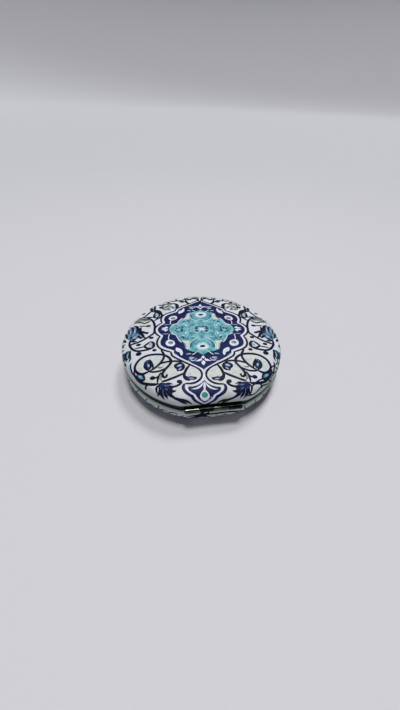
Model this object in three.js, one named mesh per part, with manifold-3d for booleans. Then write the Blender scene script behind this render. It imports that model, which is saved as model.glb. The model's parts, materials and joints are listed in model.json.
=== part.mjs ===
// A round pocket mirror: two padded, leather-covered halves on plated rims, joined by a four-knuckle hinge.
// Millimetres, +Z up. The origin is the centre of the flat that the base rests on.
// The hinge is on the -Y side and the push button on the +Y side. Both halves use the same pressings: the base
// is the lid's set turned half a turn about Y, so its pieces are drawn once, with z as their depth, the distance
// from the parting plane between the closed halves.
import * as THREE from "three";
import { mergeVertices } from "three/addons/utils/BufferGeometryUtils.js";
import Module from "manifold-3d";

// Overall sizes
const rimRadius = 35;
const coverStandsOut = 0.5; // leather past the rim, measured on the radius
const halfThickness = 9.25; // parting plane to the flat of one half
const flatRadius = 12; // the flat that a half rests on
const crownRound = 2.6; // exponent of the dome's curve across, higher is squarer
const crownSide = 4.4; // exponent of the dome's curve in depth, higher is fuller
const sideSteps = 1.7; // how much closer the dome's steps are on its side, 1 is even
const hingeBand = 5; // width of a domed piece's outer band that runs straight along the hinge
const partingGap = 0.3; // between the closed rims
const roundSegments = 48;
const smallSegments = 12;

// Sheet and layer thicknesses
const rimSheet = 0.4;
const rimWall = 0.5;
const leather = 0.8;
const foamSide = 0.55;
const foamCorner = 0.4; // least foam between the leather and the pan's corner
const panSheet = 0.5;
const panCorner = 1.8;
const seat = 0.05; // glue line or press fit between pieces of one half
const cutPast = 1; // how far a cut runs past what it cuts

// Mirrors
const rimBorder = 6.5; // width of the plated border round the glass
const mirrorLip = 0.8; // how far the rim covers the glass
const glass = 1.8;
const glassBevel = 0.2;
const magnifierCurve = 600; // radius of the concave glass, which doubles a face at 150
const adhesiveInset = 1.8; // glass past its adhesive

// Hinge
const knuckleCount = 4;
const knuckleLength = 5.25;
const knuckleGap = 0.25;
const hingeMargin = 1.6; // straight edge past the barrel, each side
const pinClearance = 0.05;
const pinHeadRim = 0.25; // pin head past the pin
const pinHead = 0.5;
const pinCrown = 0.2; // edge of a pin head, peened over
const barrelClearance = 0.1; // between the barrel and the straight edge
const leafSheet = 0.5;
const curlEnd = 15; // degrees, where the rolled sheet of a knuckle stops short of its own leaf
const leafRivetSpread = 14;
const leafRivetRadius = 0.45;
const leafRivetHead = 0.35; // round head past the shank
const leafRivetRise = 0.3; // height of the round head
const countersink = 0.3; // depth of the leaf rivets' flush heads in the pan wall

// Catch
const buttonWidth = 7;
const buttonHeight = 3;
const buttonProud = 1.1; // button past the leather
const buttonBevel = 0.35;
const buttonTravel = 0.8;
const slideClearance = 0.15;
const buttonFlangeReach = 0.7; // how far the flange stands out past the button, each side
const buttonFlange = 0.4;
const slideSheet = 0.5;
const slideRail = 1.1;
const hookWidth = 4.4;
const hookSheet = 0.5;
const hookNose = 0.35;
const hookReach = 1.9; // tip of the hook past the parting plane
const hookFootWidth = 8;
const hookRivetSpread = 6.2;
const hookRivetRadius = 0.5;
const hookRivetTail = 0.25; // flat tail past the shank
const hookRivetRise = 0.3; // height of the flat tail
const hookRivetInset = 1.15; // from the glass to the hook's rivets
const noseClearance = 0.1;
const springRadius = 0.85;
const springWire = 0.25;
const springTurns = 5;
const springRoom = 0.25; // between the spring and the glass
const pegRadius = 0.4;
const pegLength = 1.05;
const bracketWidth = 6;
const bracketSheet = 0.45;
const bracketInset = 0.8; // from the adhesive to the bracket
const bracketRoom = 0.3; // between the pressed button and the bracket's foot

// Places that follow from the sizes above
const hingeLength = knuckleCount * knuckleLength + (knuckleCount - 1) * knuckleGap;
const straightHalf = hingeLength / 2 + hingeMargin;
const hingeEdge = Math.sqrt(rimRadius ** 2 - straightHalf ** 2); // centre to the straight edge of the rim
const chordInset = rimRadius - hingeEdge;
const coverRadius = rimRadius + coverStandsOut;
const rimFace = partingGap / 2;
const rimBack = rimFace + rimSheet;
const leafBack = rimBack + seat; // the leaf's face towards the rim
const leafFront = leafBack + leafSheet;
const rimEnd = leafFront + seat; // the rim's wall hides the leaf's edge
const coverStart = rimEnd + seat;
const openingRadius = rimRadius - rimBorder;
const mirrorRadius = openingRadius + mirrorLip;
const adhesiveRadius = mirrorRadius - adhesiveInset;
const panRadius = coverRadius - leather - foamSide - 2 * seat;
const panTop = rimBack + seat;
const mirrorFace = rimBack + seat;
const springTop = mirrorFace + glass + springRoom;
const springDepth = springTop + springRadius;
const bracketFoot = springDepth + springRadius + 2 * seat;
const panFloor = bracketFoot + bracketSheet + seat;
const panDepth = panFloor + panSheet; // parting plane to the outside of its floor, the foam fills the rest
const panMouthRadius = rimRadius - rimWall - seat;
const panWallOuterY = -(panRadius - chordInset);
const barrelRadius = leafFront; // the leaf's outer face runs tangent into the roll
const knuckleBore = barrelRadius - leafSheet;
const pinRadius = knuckleBore - pinClearance;
const pinHeadRadius = pinRadius + pinHeadRim;
const hingeY = -(hingeEdge + barrelClearance + barrelRadius);
const leafFlangeEnd = panDepth - panCorner - 2 * seat; // the leaf's flange runs down to the pan's corner
const leafRivetDepth = (leafFront + leafFlangeEnd) / 2;
const leafFlangeY = -(panRadius - panSheet - chordInset - 2 * seat);
const leafEdgeY = -(hingeEdge - 2 * seat);
const buttonTop = rimBack + slideClearance + seat;
const buttonMiddle = buttonTop + buttonHeight / 2;
const flangeHalf = buttonWidth / 2 + buttonFlangeReach;
const panInside = panRadius - panSheet;
const tabEnd = springDepth + springRadius - 2 * seat; // depth of the tab that the spring pushes on
const flangeRoom = Math.sqrt(panInside ** 2 - flangeHalf ** 2);
const flangeOuterY = Math.min(flangeRoom, radiusAt(panCurve(panSheet, panTop), tabEnd)) - slideClearance;
const flangeInnerY = flangeOuterY - buttonFlange;
const hookOuterY = flangeInnerY - buttonTravel - noseClearance;
const hookInnerY = hookOuterY - hookSheet;
const lipY = hookInnerY - hookNose - noseClearance; // the button's catch edge, which the hook's nose passes
const hookRivetY = mirrorRadius + hookRivetInset;
const slideTop = rimBack + 2 * seat;
const slideInnerY = mirrorRadius + buttonTravel + 2 * seat;
const bracketInnerY = adhesiveRadius + bracketInset;
const springInnerY = bracketInnerY + bracketSheet + seat;
const springOuterY = flangeInnerY - seat;

const wasm = await Module();
wasm.setup();

// A closed geometry as a solid with its faces outwards. Triangles that a pole has shrunk to a line are dropped.
function toSolid(geometry) {
  const bare = new THREE.BufferGeometry();
  bare.setAttribute("position", geometry.getAttribute("position"));
  bare.setIndex(geometry.index);
  const merged = mergeVertices(bare, 1e-4);
  const corners = [];
  for (let i = 0; i < merged.index.count; i += 3) {
    const [a, b, c] = [0, 1, 2].map((k) => merged.index.getX(i + k));
    if (a !== b && b !== c && c !== a) corners.push([a, b, c]);
  }
  const build = (triangles) =>
    new wasm.Manifold(
      new wasm.Mesh({
        numProp: 3,
        vertProperties: merged.attributes.position.array,
        triVerts: new Uint32Array(triangles.flat()),
      }),
    );
  const made = build(corners);
  if (made.volume() > 0) return made;
  return build(corners.map(([a, b, c]) => [a, c, b]));
}

function toGeometry(solid) {
  const mesh = solid.getMesh();
  const places = new Float32Array(mesh.numVert * 3);
  for (let i = 0; i < mesh.numVert; i++) {
    places.set(mesh.vertProperties.subarray(i * mesh.numProp, i * mesh.numProp + 3), i * 3);
  }
  const geometry = new THREE.BufferGeometry();
  geometry.setAttribute("position", new THREE.BufferAttribute(places, 3));
  geometry.setIndex(new THREE.BufferAttribute(mesh.triVerts, 1));
  geometry.computeVertexNormals();
  return geometry;
}

const joined = (...solids) => solids.reduce((sum, next) => sum.add(next));
const cutBy = (solid, ...tools) => tools.reduce((rest, tool) => rest.subtract(tool), solid);

// A profile of [radius, depth] pairs turned about Z. It ends on the axis or closes on itself.
function turned(profile, segments = roundSegments) {
  const points = profile.map(([radius, depth]) => new THREE.Vector2(radius, depth));
  if (profile.some(([radius]) => radius === 0) === false) points.push(points[0].clone());
  return new THREE.LatheGeometry(points, segments).rotateX(Math.PI / 2);
}

// Spreads a turned piece's columns so that two of them lie at the ends of the straight edge. The angle is
// counted from -Y.
function columnAngle(angle) {
  const corner = Math.acos(hingeEdge / rimRadius);
  const step = (2 * Math.PI) / roundSegments;
  const even = Math.round(corner / step) * step;
  const past = Math.max(0, Math.abs(angle) - even);
  const within = Math.min(Math.abs(angle), even);
  return Math.sign(angle) * ((within * corner) / even + (past * (Math.PI - corner)) / (Math.PI - even));
}

// Draws a turned piece in to the straight edge at the hinge. Rings inside roundRadius stay round, and from
// fullRadius outwards a ring keeps its distance from the rim's straight edge. A circle is drawn in by taking the
// smaller of its radius and the straight edge's distance, edge / cos(angle), at each angle.
function drawnInAtHinge(geometry, roundRadius, fullRadius) {
  const places = geometry.getAttribute("position");
  for (let i = 0; i < places.count; i++) {
    const radius = Math.hypot(places.getX(i), places.getY(i));
    const angle = columnAngle(Math.atan2(places.getX(i), -places.getY(i)));
    const share = THREE.MathUtils.clamp((radius - roundRadius) / (fullRadius - roundRadius), 0, 1);
    const edge = radius - chordInset * share;
    const drawn = Math.min(radius, edge / Math.max(Math.cos(angle), 1e-9));
    places.setXY(i, drawn * Math.sin(angle), -drawn * Math.cos(angle));
  }
  return geometry;
}

const domed = (profile) => toSolid(drawnInAtHinge(turned(profile), 0, rimRadius - hingeBand));

function block([x0, x1], [y0, y1], [z0, z1]) {
  const box = new THREE.BoxGeometry(x1 - x0, y1 - y0, z1 - z0);
  box.translate((x0 + x1) / 2, (y0 + y1) / 2, (z0 + z1) / 2);
  return toSolid(box);
}

// Turns what was drawn along Z to lie along the given axis, and moves it to its place.
function alongAxis(geometry, axis, place) {
  const turn = new THREE.Quaternion().setFromUnitVectors(new THREE.Vector3(0, 0, 1), axis);
  return geometry.applyQuaternion(turn).translate(...place);
}

// An outline of [y, z] pairs or a shape in the Y-Z plane, carried along X from x0 to x1.
function alongX(shape, x0, x1) {
  const body = new THREE.ExtrudeGeometry(shape, { depth: x1 - x0, bevelEnabled: false, curveSegments: 14 });
  const turn = new THREE.Matrix4().makeBasis(
    new THREE.Vector3(0, 1, 0),
    new THREE.Vector3(0, 0, 1),
    new THREE.Vector3(1, 0, 0),
  );
  return toSolid(body.applyMatrix4(turn).translate(x0, 0, 0));
}

// The height at which a dome's curve, (r / radius) ^ round + (depth / height) ^ side = 1, meets its flat, at the
// depth top, where r is flatRadius.
function domeHeight(radius, top) {
  return (top - coverStart) / (1 - (flatRadius / radius) ** crownRound) ** (1 / crownSide);
}

// The dome's curve from its lower edge to its flat. The steps are closer together on the side.
function domeCurve(radius, top, steps) {
  const flatAngle = Math.acos((flatRadius / radius) ** (crownRound / 2));
  const points = Array.from({ length: steps + 1 }, (unused, i) => {
    const angle = flatAngle * (i / steps) ** sideSteps;
    const r = radius * Math.cos(angle) ** (2 / crownRound);
    return [r, coverStart + domeHeight(radius, top) * Math.sin(angle) ** (2 / crownSide)];
  });
  points[steps] = [flatRadius, top];
  return [...points, [0, top]];
}

// The radius of the leather's inside at a depth.
function leatherRadius(depth) {
  const radius = coverRadius - leather;
  const share = (depth - coverStart) / domeHeight(radius, halfThickness - leather);
  return radius * (1 - share ** crownSide) ** (1 / crownRound);
}

function cover() {
  const outside = domeCurve(coverRadius, halfThickness, 8);
  const inside = domeCurve(coverRadius - leather, halfThickness - leather, 6);
  return domed([...inside.reverse(), ...outside]);
}

// The pan's side, corner and floor, drawn in by an inset. The mouth is a step wider, to press into the rim, and
// the corner keeps room for the foam under the leather.
function panCurve(inset, top) {
  const corner = panCorner - inset;
  const centre = [panRadius - panCorner, panDepth - panCorner];
  const rounded = [0, 1, 2].map((i) => {
    const angle = (i * Math.PI) / 4;
    const depth = centre[1] + corner * Math.sin(angle);
    const room = leatherRadius(centre[1] + panCorner * Math.sin(angle)) - foamCorner;
    return [Math.min(centre[0] + corner * Math.cos(angle), room - inset * Math.cos(angle)), depth];
  });
  const mouth = panMouthRadius - inset;
  const slope = inset * Math.tan(Math.PI / 8);
  return [
    [mouth, top],
    [mouth, rimEnd + slope],
    [panRadius - inset, rimEnd + panMouthRadius - panRadius + slope],
    ...rounded,
    [0, panDepth - inset],
  ];
}

// The radius of a profile at a depth, on the straight line between the points before and after it.
function radiusAt(profile, depth) {
  const next = profile.findIndex(([, pointDepth]) => pointDepth >= depth);
  const [[r0, d0], [r1, d1]] = profile.slice(next - 1, next + 1);
  return r0 + ((r1 - r0) * (depth - d0)) / (d1 - d0);
}

function pan() {
  return domed([...panCurve(panSheet, panTop).reverse(), ...panCurve(0, panTop)]);
}

function foamPad() {
  const outside = domeCurve(coverRadius - leather - seat, halfThickness - leather - seat, 6);
  const againstPan = panCurve(-seat, coverStart).slice(1);
  againstPan[0] = [panMouthRadius + seat, coverStart];
  return domed([...againstPan.reverse(), ...outside]);
}

function rim() {
  const edge = rimSheet / 2;
  const section = [
    [openingRadius, rimFace + edge],
    [openingRadius + edge, rimFace],
    [rimRadius - edge, rimFace],
    [rimRadius, rimFace + edge],
    [rimRadius, rimEnd],
    [rimRadius - rimWall, rimEnd],
    [rimRadius - rimWall, rimBack],
    [openingRadius, rimBack],
  ];
  return toSolid(drawnInAtHinge(turned(section), openingRadius, panMouthRadius - panSheet));
}

// How much deeper the concave glass lies at a radius than at its edge.
const dish = (radius, curve) => (mirrorRadius ** 2 - radius ** 2) / (2 * curve);

function mirror(curve) {
  const inner = mirrorRadius - glassBevel;
  const rings = curve === Infinity ? [] : [0.75, 0.5, 0.25].map((share) => inner * share);
  const face = rings.map((r) => [r, mirrorFace + dish(r, curve)]);
  const back = rings.map((r) => [r, mirrorFace + glass + dish(r, curve)]);
  return toSolid(
    turned([
      [0, mirrorFace + dish(0, curve)],
      ...face.reverse(),
      [inner, mirrorFace],
      [mirrorRadius, mirrorFace + glassBevel],
      [mirrorRadius, mirrorFace + glass - glassBevel],
      [inner, mirrorFace + glass],
      ...back,
      [0, mirrorFace + glass + dish(0, curve)],
    ]),
  );
}

function adhesive(curve) {
  const rings = curve === Infinity ? [1] : [1, 0.75, 0.5, 0.25];
  const againstGlass = rings.map((share) => {
    const radius = adhesiveRadius * share;
    return [radius, mirrorFace + glass + seat + dish(radius, curve)];
  });
  return toSolid(
    turned([
      [0, panFloor - seat],
      [adhesiveRadius, panFloor - seat],
      ...againstGlass,
      [0, mirrorFace + glass + seat + dish(0, curve)],
    ]),
  );
}

// The left end of knuckle number i, counted along X.
const knuckleStart = (i) => -hingeLength / 2 + i * (knuckleLength + knuckleGap);

// One knuckle, rolled from the leaf's own sheet: it leaves the leaf, goes over the pin and round under it, and
// stops short of the leaf again. The roll's centre line is on the hinge axis.
function knuckleShape() {
  const end = THREE.MathUtils.degToRad(curlEnd);
  const shape = new THREE.Shape();
  shape.moveTo(leafEdgeY, leafFront);
  shape.lineTo(hingeY, leafFront);
  shape.absarc(hingeY, 0, barrelRadius, Math.PI / 2, 2 * Math.PI + end, false);
  shape.absarc(hingeY, 0, knuckleBore, 2 * Math.PI + end, Math.PI / 2, true);
  shape.lineTo(leafEdgeY, leafBack);
  return shape;
}

// A leaf: a plate in the rim's notch, a flange down the pan wall with two rivet holes, and every other knuckle.
function hingeLeaf() {
  const across = [-hingeLength / 2, hingeLength / 2];
  const plate = block(across, [leafEdgeY, leafFlangeY + leafSheet], [leafBack, leafFront]);
  const flange = block(across, [leafFlangeY, leafFlangeY + leafSheet], [leafBack, leafFlangeEnd]);
  const knuckles = [];
  for (let i = 1; i < knuckleCount; i += 2) {
    knuckles.push(alongX(knuckleShape(), knuckleStart(i), knuckleStart(i) + knuckleLength));
  }
  const holes = leafRivetPlaces().map((x) => rivetBore(x));
  return cutBy(joined(plate, flange, ...knuckles), ...holes);
}

const leafRivetPlaces = () => [-leafRivetSpread / 2, leafRivetSpread / 2];

// A hole for a leaf rivet, countersunk on the outside of the pan wall.
function rivetBore(x) {
  const reach = leafSheet + panSheet + cutPast;
  const hole = leafRivetRadius + seat;
  const bore = turned(
    [
      [0, 0],
      [hole + countersink, 0],
      [hole, countersink],
      [hole, reach],
      [0, reach],
    ],
    smallSegments,
  );
  return toSolid(alongAxis(bore, new THREE.Vector3(0, 1, 0), [x, panWallOuterY - seat, leafRivetDepth]));
}

// A leaf rivet: flush outside the pan wall, with a low round head on the leaf.
function leafRivet(x) {
  const start = seat / 2;
  const grip = panSheet + leafSheet + 3 * seat;
  const body = turned(
    [
      [0, start],
      [leafRivetRadius + countersink - seat, start],
      [leafRivetRadius, countersink - seat / 2],
      [leafRivetRadius, grip],
      [leafRivetRadius + leafRivetHead, grip],
      [leafRivetRadius + leafRivetHead / 2, grip + leafRivetRise],
      [0, grip + leafRivetRise],
    ],
    smallSegments,
  );
  return toSolid(alongAxis(body, new THREE.Vector3(0, 1, 0), [x, panWallOuterY, leafRivetDepth]));
}

// The pin, with a peened head at each end of the barrel.
function hingePin() {
  const end = hingeLength / 2 + seat;
  const head = [
    [0, end + pinHead],
    [pinHeadRadius - pinCrown, end + pinHead],
    [pinHeadRadius, end + pinHead - pinCrown],
    [pinHeadRadius, end],
    [pinRadius, end],
  ];
  const otherHead = head.map(([radius, along]) => [radius, -along]);
  const pin = turned([...otherHead, ...head.reverse()], 2 * smallSegments);
  return toSolid(alongAxis(pin, new THREE.Vector3(1, 0, 0), [0, hingeY, 0]));
}

// The notch that lets the leaf through the rim wall and the mouth of the pan.
function leafNotch() {
  const half = hingeLength / 2 + slideClearance;
  return block([-half, half], [-rimRadius, leafFlangeY - seat], [rimBack, leafFront + seat]);
}

// The window for the push button, through rim wall, pan, foam and leather.
function buttonWindow(extra = 0) {
  const half = buttonWidth / 2 + slideClearance + extra;
  const reach = [flangeOuterY - cutPast, coverRadius + cutPast];
  return block([-half, half], reach, [rimBack, buttonTop + buttonHeight + slideClearance + extra]);
}

// The push button: a rounded head outside, a flange that stops it inside the pan, and a slide with two rails
// and a catch bar that the hook reaches through.
function pushButton() {
  const length = coverRadius + buttonProud - flangeInnerY;
  const half = buttonWidth / 2 - buttonBevel;
  const halfHeight = buttonHeight / 2 - buttonBevel;
  const face = new THREE.Shape();
  face.moveTo(-half, -halfHeight);
  face.lineTo(half, -halfHeight);
  face.lineTo(half, halfHeight);
  face.lineTo(-half, halfHeight);
  const head = new THREE.ExtrudeGeometry(face, {
    depth: length - buttonBevel,
    bevelThickness: buttonBevel,
    bevelSize: buttonBevel,
    bevelSegments: 3,
  });
  const turn = new THREE.Matrix4().makeBasis(
    new THREE.Vector3(1, 0, 0),
    new THREE.Vector3(0, 0, 1),
    new THREE.Vector3(0, -1, 0),
  );
  head.applyMatrix4(turn).translate(0, coverRadius + buttonProud - buttonBevel, buttonMiddle);
  const behindFlange = block([-buttonWidth, buttonWidth], [0, flangeInnerY], [0, panDepth]);
  const flangeY = [flangeInnerY, flangeOuterY];
  const flange = block([-flangeHalf, flangeHalf], flangeY, [buttonTop, panDepth - panCorner - seat]);
  const tabHalf = springRadius + slideClearance;
  const springTab = block([-tabHalf, tabHalf], flangeY, [buttonTop, tabEnd]);
  const slideHalf = hookWidth / 2 + 2 * slideClearance + slideRail;
  const slideDepth = [slideTop, slideTop + slideSheet];
  const slide = block([-slideHalf, slideHalf], [slideInnerY, flangeOuterY], slideDepth);
  const opening = hookWidth / 2 + 2 * slideClearance;
  const hookGap = block([-opening, opening], [lipY, flangeInnerY], [0, slideTop + slideSheet + cutPast]);
  return joined(
    toSolid(head).subtract(behindFlange),
    flange,
    springTab,
    slide.subtract(hookGap),
    springPeg(flangeInnerY, -1),
  );
}

// A round peg that keeps the spring in line, from a face at y in the given direction along Y.
function springPeg(y, direction) {
  const length = pegLength + seat;
  const peg = new THREE.CylinderGeometry(pegRadius, pegRadius, length, smallSegments);
  return toSolid(peg.translate(0, y + direction * (length / 2 - seat), springDepth));
}

// The spring's bracket: a foot on the pan floor, an upright wall and a peg for the spring.
function springBracket() {
  const across = [-bracketWidth / 2, bracketWidth / 2];
  const footEnd = flangeInnerY - buttonTravel - bracketRoom;
  const under = bracketFoot + bracketSheet;
  const foot = block(across, [bracketInnerY, footEnd], [bracketFoot, under]);
  const wall = block(across, [bracketInnerY, bracketInnerY + bracketSheet], [springTop, under]);
  return joined(foot, wall, springPeg(bracketInnerY + bracketSheet, 1));
}

// The wire's centre line: a helix about Y from the bracket to the flange.
class SpringLine extends THREE.Curve {
  getPoint(t) {
    const angle = 2 * Math.PI * springTurns * t;
    const coil = springRadius - springWire / 2;
    const length = springOuterY - springInnerY - springWire;
    return new THREE.Vector3(
      coil * Math.cos(angle),
      springInnerY + springWire / 2 + length * t,
      springDepth + coil * Math.sin(angle),
    );
  }
}

function buttonSpring() {
  const line = new SpringLine();
  const section = new THREE.Shape();
  for (let i = 0; i < 5; i++) {
    const angle = (2 * Math.PI * i) / 5;
    const at = [(springWire / 2) * Math.cos(angle), (springWire / 2) * Math.sin(angle)];
    if (i === 0) section.moveTo(...at);
    else section.lineTo(...at);
  }
  const steps = 8 * springTurns;
  reportSpringGap(line, steps);
  return toSolid(new THREE.ExtrudeGeometry(section, { steps, extrudePath: line, bevelEnabled: false }));
}

// Prints the least free space between turns of the spring, measured on points half a turn or more apart.
function reportSpringGap(line, steps) {
  const points = line.getSpacedPoints(steps * 4);
  const apart = (points.length - 1) / springTurns / 2;
  let least = Infinity;
  points.forEach((p, i) => {
    points.slice(i + apart).forEach((q) => (least = Math.min(least, p.distanceTo(q))));
  });
  console.log("least gap between spring turns: " + (least - springWire).toFixed(2) + " mm");
}

// The catch hook on the lid: a foot behind the rim, and a tongue through it whose nose reaches below the button's
// catch bar. The nose stops noseClearance short of the bar, so that the lid swings with the button at rest.
function catchHook() {
  const foot = block(
    [-hookFootWidth / 2, hookFootWidth / 2],
    [mirrorRadius + 3 * seat, hookOuterY],
    [rimBack + seat, rimBack + seat + hookSheet],
  );
  const noseTop = -(slideTop + slideSheet + 2 * seat);
  const tongue = new THREE.Shape();
  tongue.moveTo(hookOuterY, rimBack + seat + hookSheet / 2);
  tongue.lineTo(hookInnerY, rimBack + seat + hookSheet / 2);
  tongue.lineTo(hookInnerY, noseTop);
  tongue.lineTo(hookInnerY - hookNose, noseTop);
  tongue.lineTo(hookInnerY - hookNose, noseTop - hookNose / 2);
  tongue.lineTo(hookInnerY, -hookReach);
  tongue.lineTo(hookOuterY, -hookReach);
  const holes = hookRivetPlaces().map((place) => hookRivetBore(place));
  return cutBy(joined(foot, alongX(tongue, -hookWidth / 2, hookWidth / 2)), ...holes);
}

const hookRivetPlaces = () => [-hookRivetSpread / 2, hookRivetSpread / 2].map((x) => [x, hookRivetY]);

function hookRivetBore([x, y]) {
  const hole = hookRivetRadius + seat;
  const bore = turned(
    [
      [0, 0],
      [hole + rimSheet + rimFace, 0],
      [hole, rimBack],
      [hole, rimBack + hookSheet + cutPast],
      [0, rimBack + hookSheet + cutPast],
    ],
    smallSegments,
  );
  return toSolid(bore.translate(x, y, 0));
}

// A hook rivet, flush with the rim's face, with a flat tail behind the foot.
function hookRivet([x, y]) {
  const tail = rimBack + hookSheet + 2 * seat;
  const body = turned(
    [
      [0, rimFace + seat],
      [hookRivetRadius + rimSheet - 3 * seat, rimFace + seat],
      [hookRivetRadius, rimBack - seat],
      [hookRivetRadius, tail],
      [hookRivetRadius + hookRivetTail, tail],
      [hookRivetRadius + hookRivetTail / 2, tail + hookRivetRise],
      [0, tail + hookRivetRise],
    ],
    smallSegments,
  );
  return toSolid(body.translate(x, y, 0));
}

// The slot in the base rim that the hook drops into, and the one in the lid rim that it comes out of.
function hookSlot(innerY) {
  const half = hookWidth / 2 + slideClearance;
  return block([-half, half], [innerY, hookOuterY + slideClearance], [0, rimBack + cutPast]);
}

const finishes = {
  leather: { color: 0xdfe4ea, roughness: 0.55, metalness: 0 },
  foam: { color: 0xd8d3c4, roughness: 0.95, metalness: 0 },
  plated: { color: 0x9aa39c, roughness: 0.2, metalness: 1 },
  steel: { color: 0x8d9192, roughness: 0.45, metalness: 1 },
  silvered: { color: 0xe6edf0, roughness: 0.03, metalness: 1 },
  adhesive: { color: 0xf1efe6, roughness: 0.8, metalness: 0 },
};

function piece(name, solid, finish) {
  const mesh = new THREE.Mesh(toGeometry(solid), new THREE.MeshStandardMaterial(finishes[finish]));
  mesh.name = name;
  return mesh;
}

// The pieces that both halves share. cuts are the openings of this half.
function half(name, mirrorCurve, cuts) {
  const group = new THREE.Group();
  const rivetHoles = leafRivetPlaces().map((x) => rivetBore(x));
  group.add(
    piece(name + "_cover", cutBy(cover(), ...cuts.skin), "leather"),
    piece(name + "_foam_pad", cutBy(foamPad(), ...cuts.foam), "foam"),
    piece(name + "_pan", cutBy(pan(), leafNotch(), ...rivetHoles, ...cuts.skin), "steel"),
    piece(name + "_rim", cutBy(rim(), leafNotch(), ...cuts.rim), "plated"),
    piece(name + "_mirror", mirror(mirrorCurve), "silvered"),
    piece(name + "_mirror_adhesive", adhesive(mirrorCurve), "adhesive"),
    piece(name + "_hinge_leaf", hingeLeaf(), "plated"),
  );
  leafRivetPlaces().forEach((x, i) => {
    group.add(piece(name + "_hinge_rivet_" + (i + 1), leafRivet(x), "steel"));
  });
  return group;
}

function lid() {
  const rivetHoles = hookRivetPlaces().map((place) => hookRivetBore(place));
  const group = half("lid", Infinity, {
    skin: [],
    foam: [],
    rim: [hookSlot(hookInnerY - slideClearance), ...rivetHoles],
  });
  group.add(piece("catch_hook", catchHook(), "plated"));
  hookRivetPlaces().forEach((place, i) => {
    group.add(piece("hook_rivet_" + (i + 1), hookRivet(place), "plated"));
  });
  return group;
}

function base() {
  const group = half("base", magnifierCurve, {
    skin: [buttonWindow()],
    foam: [buttonWindow(seat)],
    rim: [buttonWindow(), hookSlot(lipY - slideClearance)],
  });
  group.add(
    piece("hinge_pin", hingePin(), "plated"),
    piece("push_button", pushButton(), "plated"),
    piece("button_spring", buttonSpring(), "steel"),
    piece("spring_bracket", springBracket(), "steel"),
  );
  group.rotation.y = Math.PI;
  return group;
}

const pocketMirror = new THREE.Group();
pocketMirror.add(lid(), base());
pocketMirror.children.forEach((group) => group.position.setZ(halfThickness));

export default pocketMirror;
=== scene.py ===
"""Looks of a round folding pocket mirror: padded leather covers with a painted arabesque medallion on both
halves, dark plated rims, a rolled-knuckle hinge, a push-button catch and two glasses.

Shapes are worked out in millimetres in the frame of one half, with depth counted from the parting plane
between the closed halves, and put into the row frame in metres. The base half is the lid half turned half
way round about Y.
"""
import json

import bmesh
import bpy
import numpy as np
from mathutils import Matrix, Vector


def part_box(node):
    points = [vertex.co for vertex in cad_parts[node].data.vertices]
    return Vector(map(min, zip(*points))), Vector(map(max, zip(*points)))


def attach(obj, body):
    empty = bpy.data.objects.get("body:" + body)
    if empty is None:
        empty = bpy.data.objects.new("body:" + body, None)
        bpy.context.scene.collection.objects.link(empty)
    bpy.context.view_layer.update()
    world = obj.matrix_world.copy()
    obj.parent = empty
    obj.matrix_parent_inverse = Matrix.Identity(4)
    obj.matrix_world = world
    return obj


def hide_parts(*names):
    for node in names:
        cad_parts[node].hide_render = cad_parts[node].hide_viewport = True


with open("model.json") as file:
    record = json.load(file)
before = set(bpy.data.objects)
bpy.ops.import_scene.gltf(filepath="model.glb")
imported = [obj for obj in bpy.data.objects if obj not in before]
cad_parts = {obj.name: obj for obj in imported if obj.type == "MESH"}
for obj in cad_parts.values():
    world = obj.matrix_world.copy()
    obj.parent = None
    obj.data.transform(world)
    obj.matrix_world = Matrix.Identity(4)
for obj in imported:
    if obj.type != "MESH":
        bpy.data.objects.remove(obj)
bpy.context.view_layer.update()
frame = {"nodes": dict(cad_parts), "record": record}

MM = 0.001


def box_mm(node):
    """Lowest and highest corner of a CAD node, in millimetres."""
    return [np.array(corner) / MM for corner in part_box(node)]


# Sizes of the frame, in millimetres
COVER_LOW, COVER_HIGH = box_mm("lid_cover")
RIM_LOW, RIM_HIGH = box_mm("lid_rim")
GLASS_LOW, GLASS_HIGH = box_mm("lid_mirror")
PIN_LOW, PIN_HIGH = box_mm("hinge_pin")
LEAF_LOW, LEAF_HIGH = box_mm("lid_hinge_leaf")
BUTTON_HIGH = box_mm("push_button")[1]
HOOK_HIGH = box_mm("catch_hook")[1]
PARTING = COVER_HIGH[2] / 2
COVER_RADIUS = COVER_HIGH[0]
RIM_RADIUS = RIM_HIGH[0]
HALF_DEPTH = COVER_HIGH[2] - PARTING
COVER_START = COVER_LOW[2] - PARTING
RIM_FACE = RIM_LOW[2] - PARTING
RIM_END = RIM_HIGH[2] - PARTING
CHORD_INSET = RIM_RADIUS + RIM_LOW[1]
GLASS_FACE = GLASS_LOW[2] - PARTING
GLASS_THICK = GLASS_HIGH[2] - GLASS_LOW[2]
GLASS_RADIUS = GLASS_HIGH[0]
HINGE_Y = (PIN_LOW[1] + PIN_HIGH[1]) / 2
BARREL_RADIUS = HINGE_Y - LEAF_LOW[1]
HINGE_LENGTH = LEAF_HIGH[0] - LEAF_LOW[0]
HEAD_RADIUS = (PIN_HIGH[1] - PIN_LOW[1]) / 2
# Signs that turn a half's own x, y and depth into the row frame's
HALF_TURN = {"lid": np.array([1, 1, 1]), "base": np.array([-1, 1, -1])}

# Shape of the padded covers
CROWN_ROUND = 2.6
CROWN_SIDE = 4.4
FLAT_RADIUS = 12.0
FLAT_BLEND = 0.06
LEATHER = 0.8
EDGE_ROLL = 0.4
FLAT_SHARE = (1 - (FLAT_RADIUS / COVER_RADIUS) ** CROWN_ROUND) ** (1 / CROWN_SIDE)
CROWN_HEIGHT = (HALF_DEPTH - COVER_START) / FLAT_SHARE
CHORD_FROM = 20.0
CHORD_TO = 33.5
CORNER_BLEND = 0.35
CORNER_SPREAD = 1.2
TUCK = 1.1
TUCK_IN = 0.52
RELIEF = 0.016
FLOOR_DROP = 0.15
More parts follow.
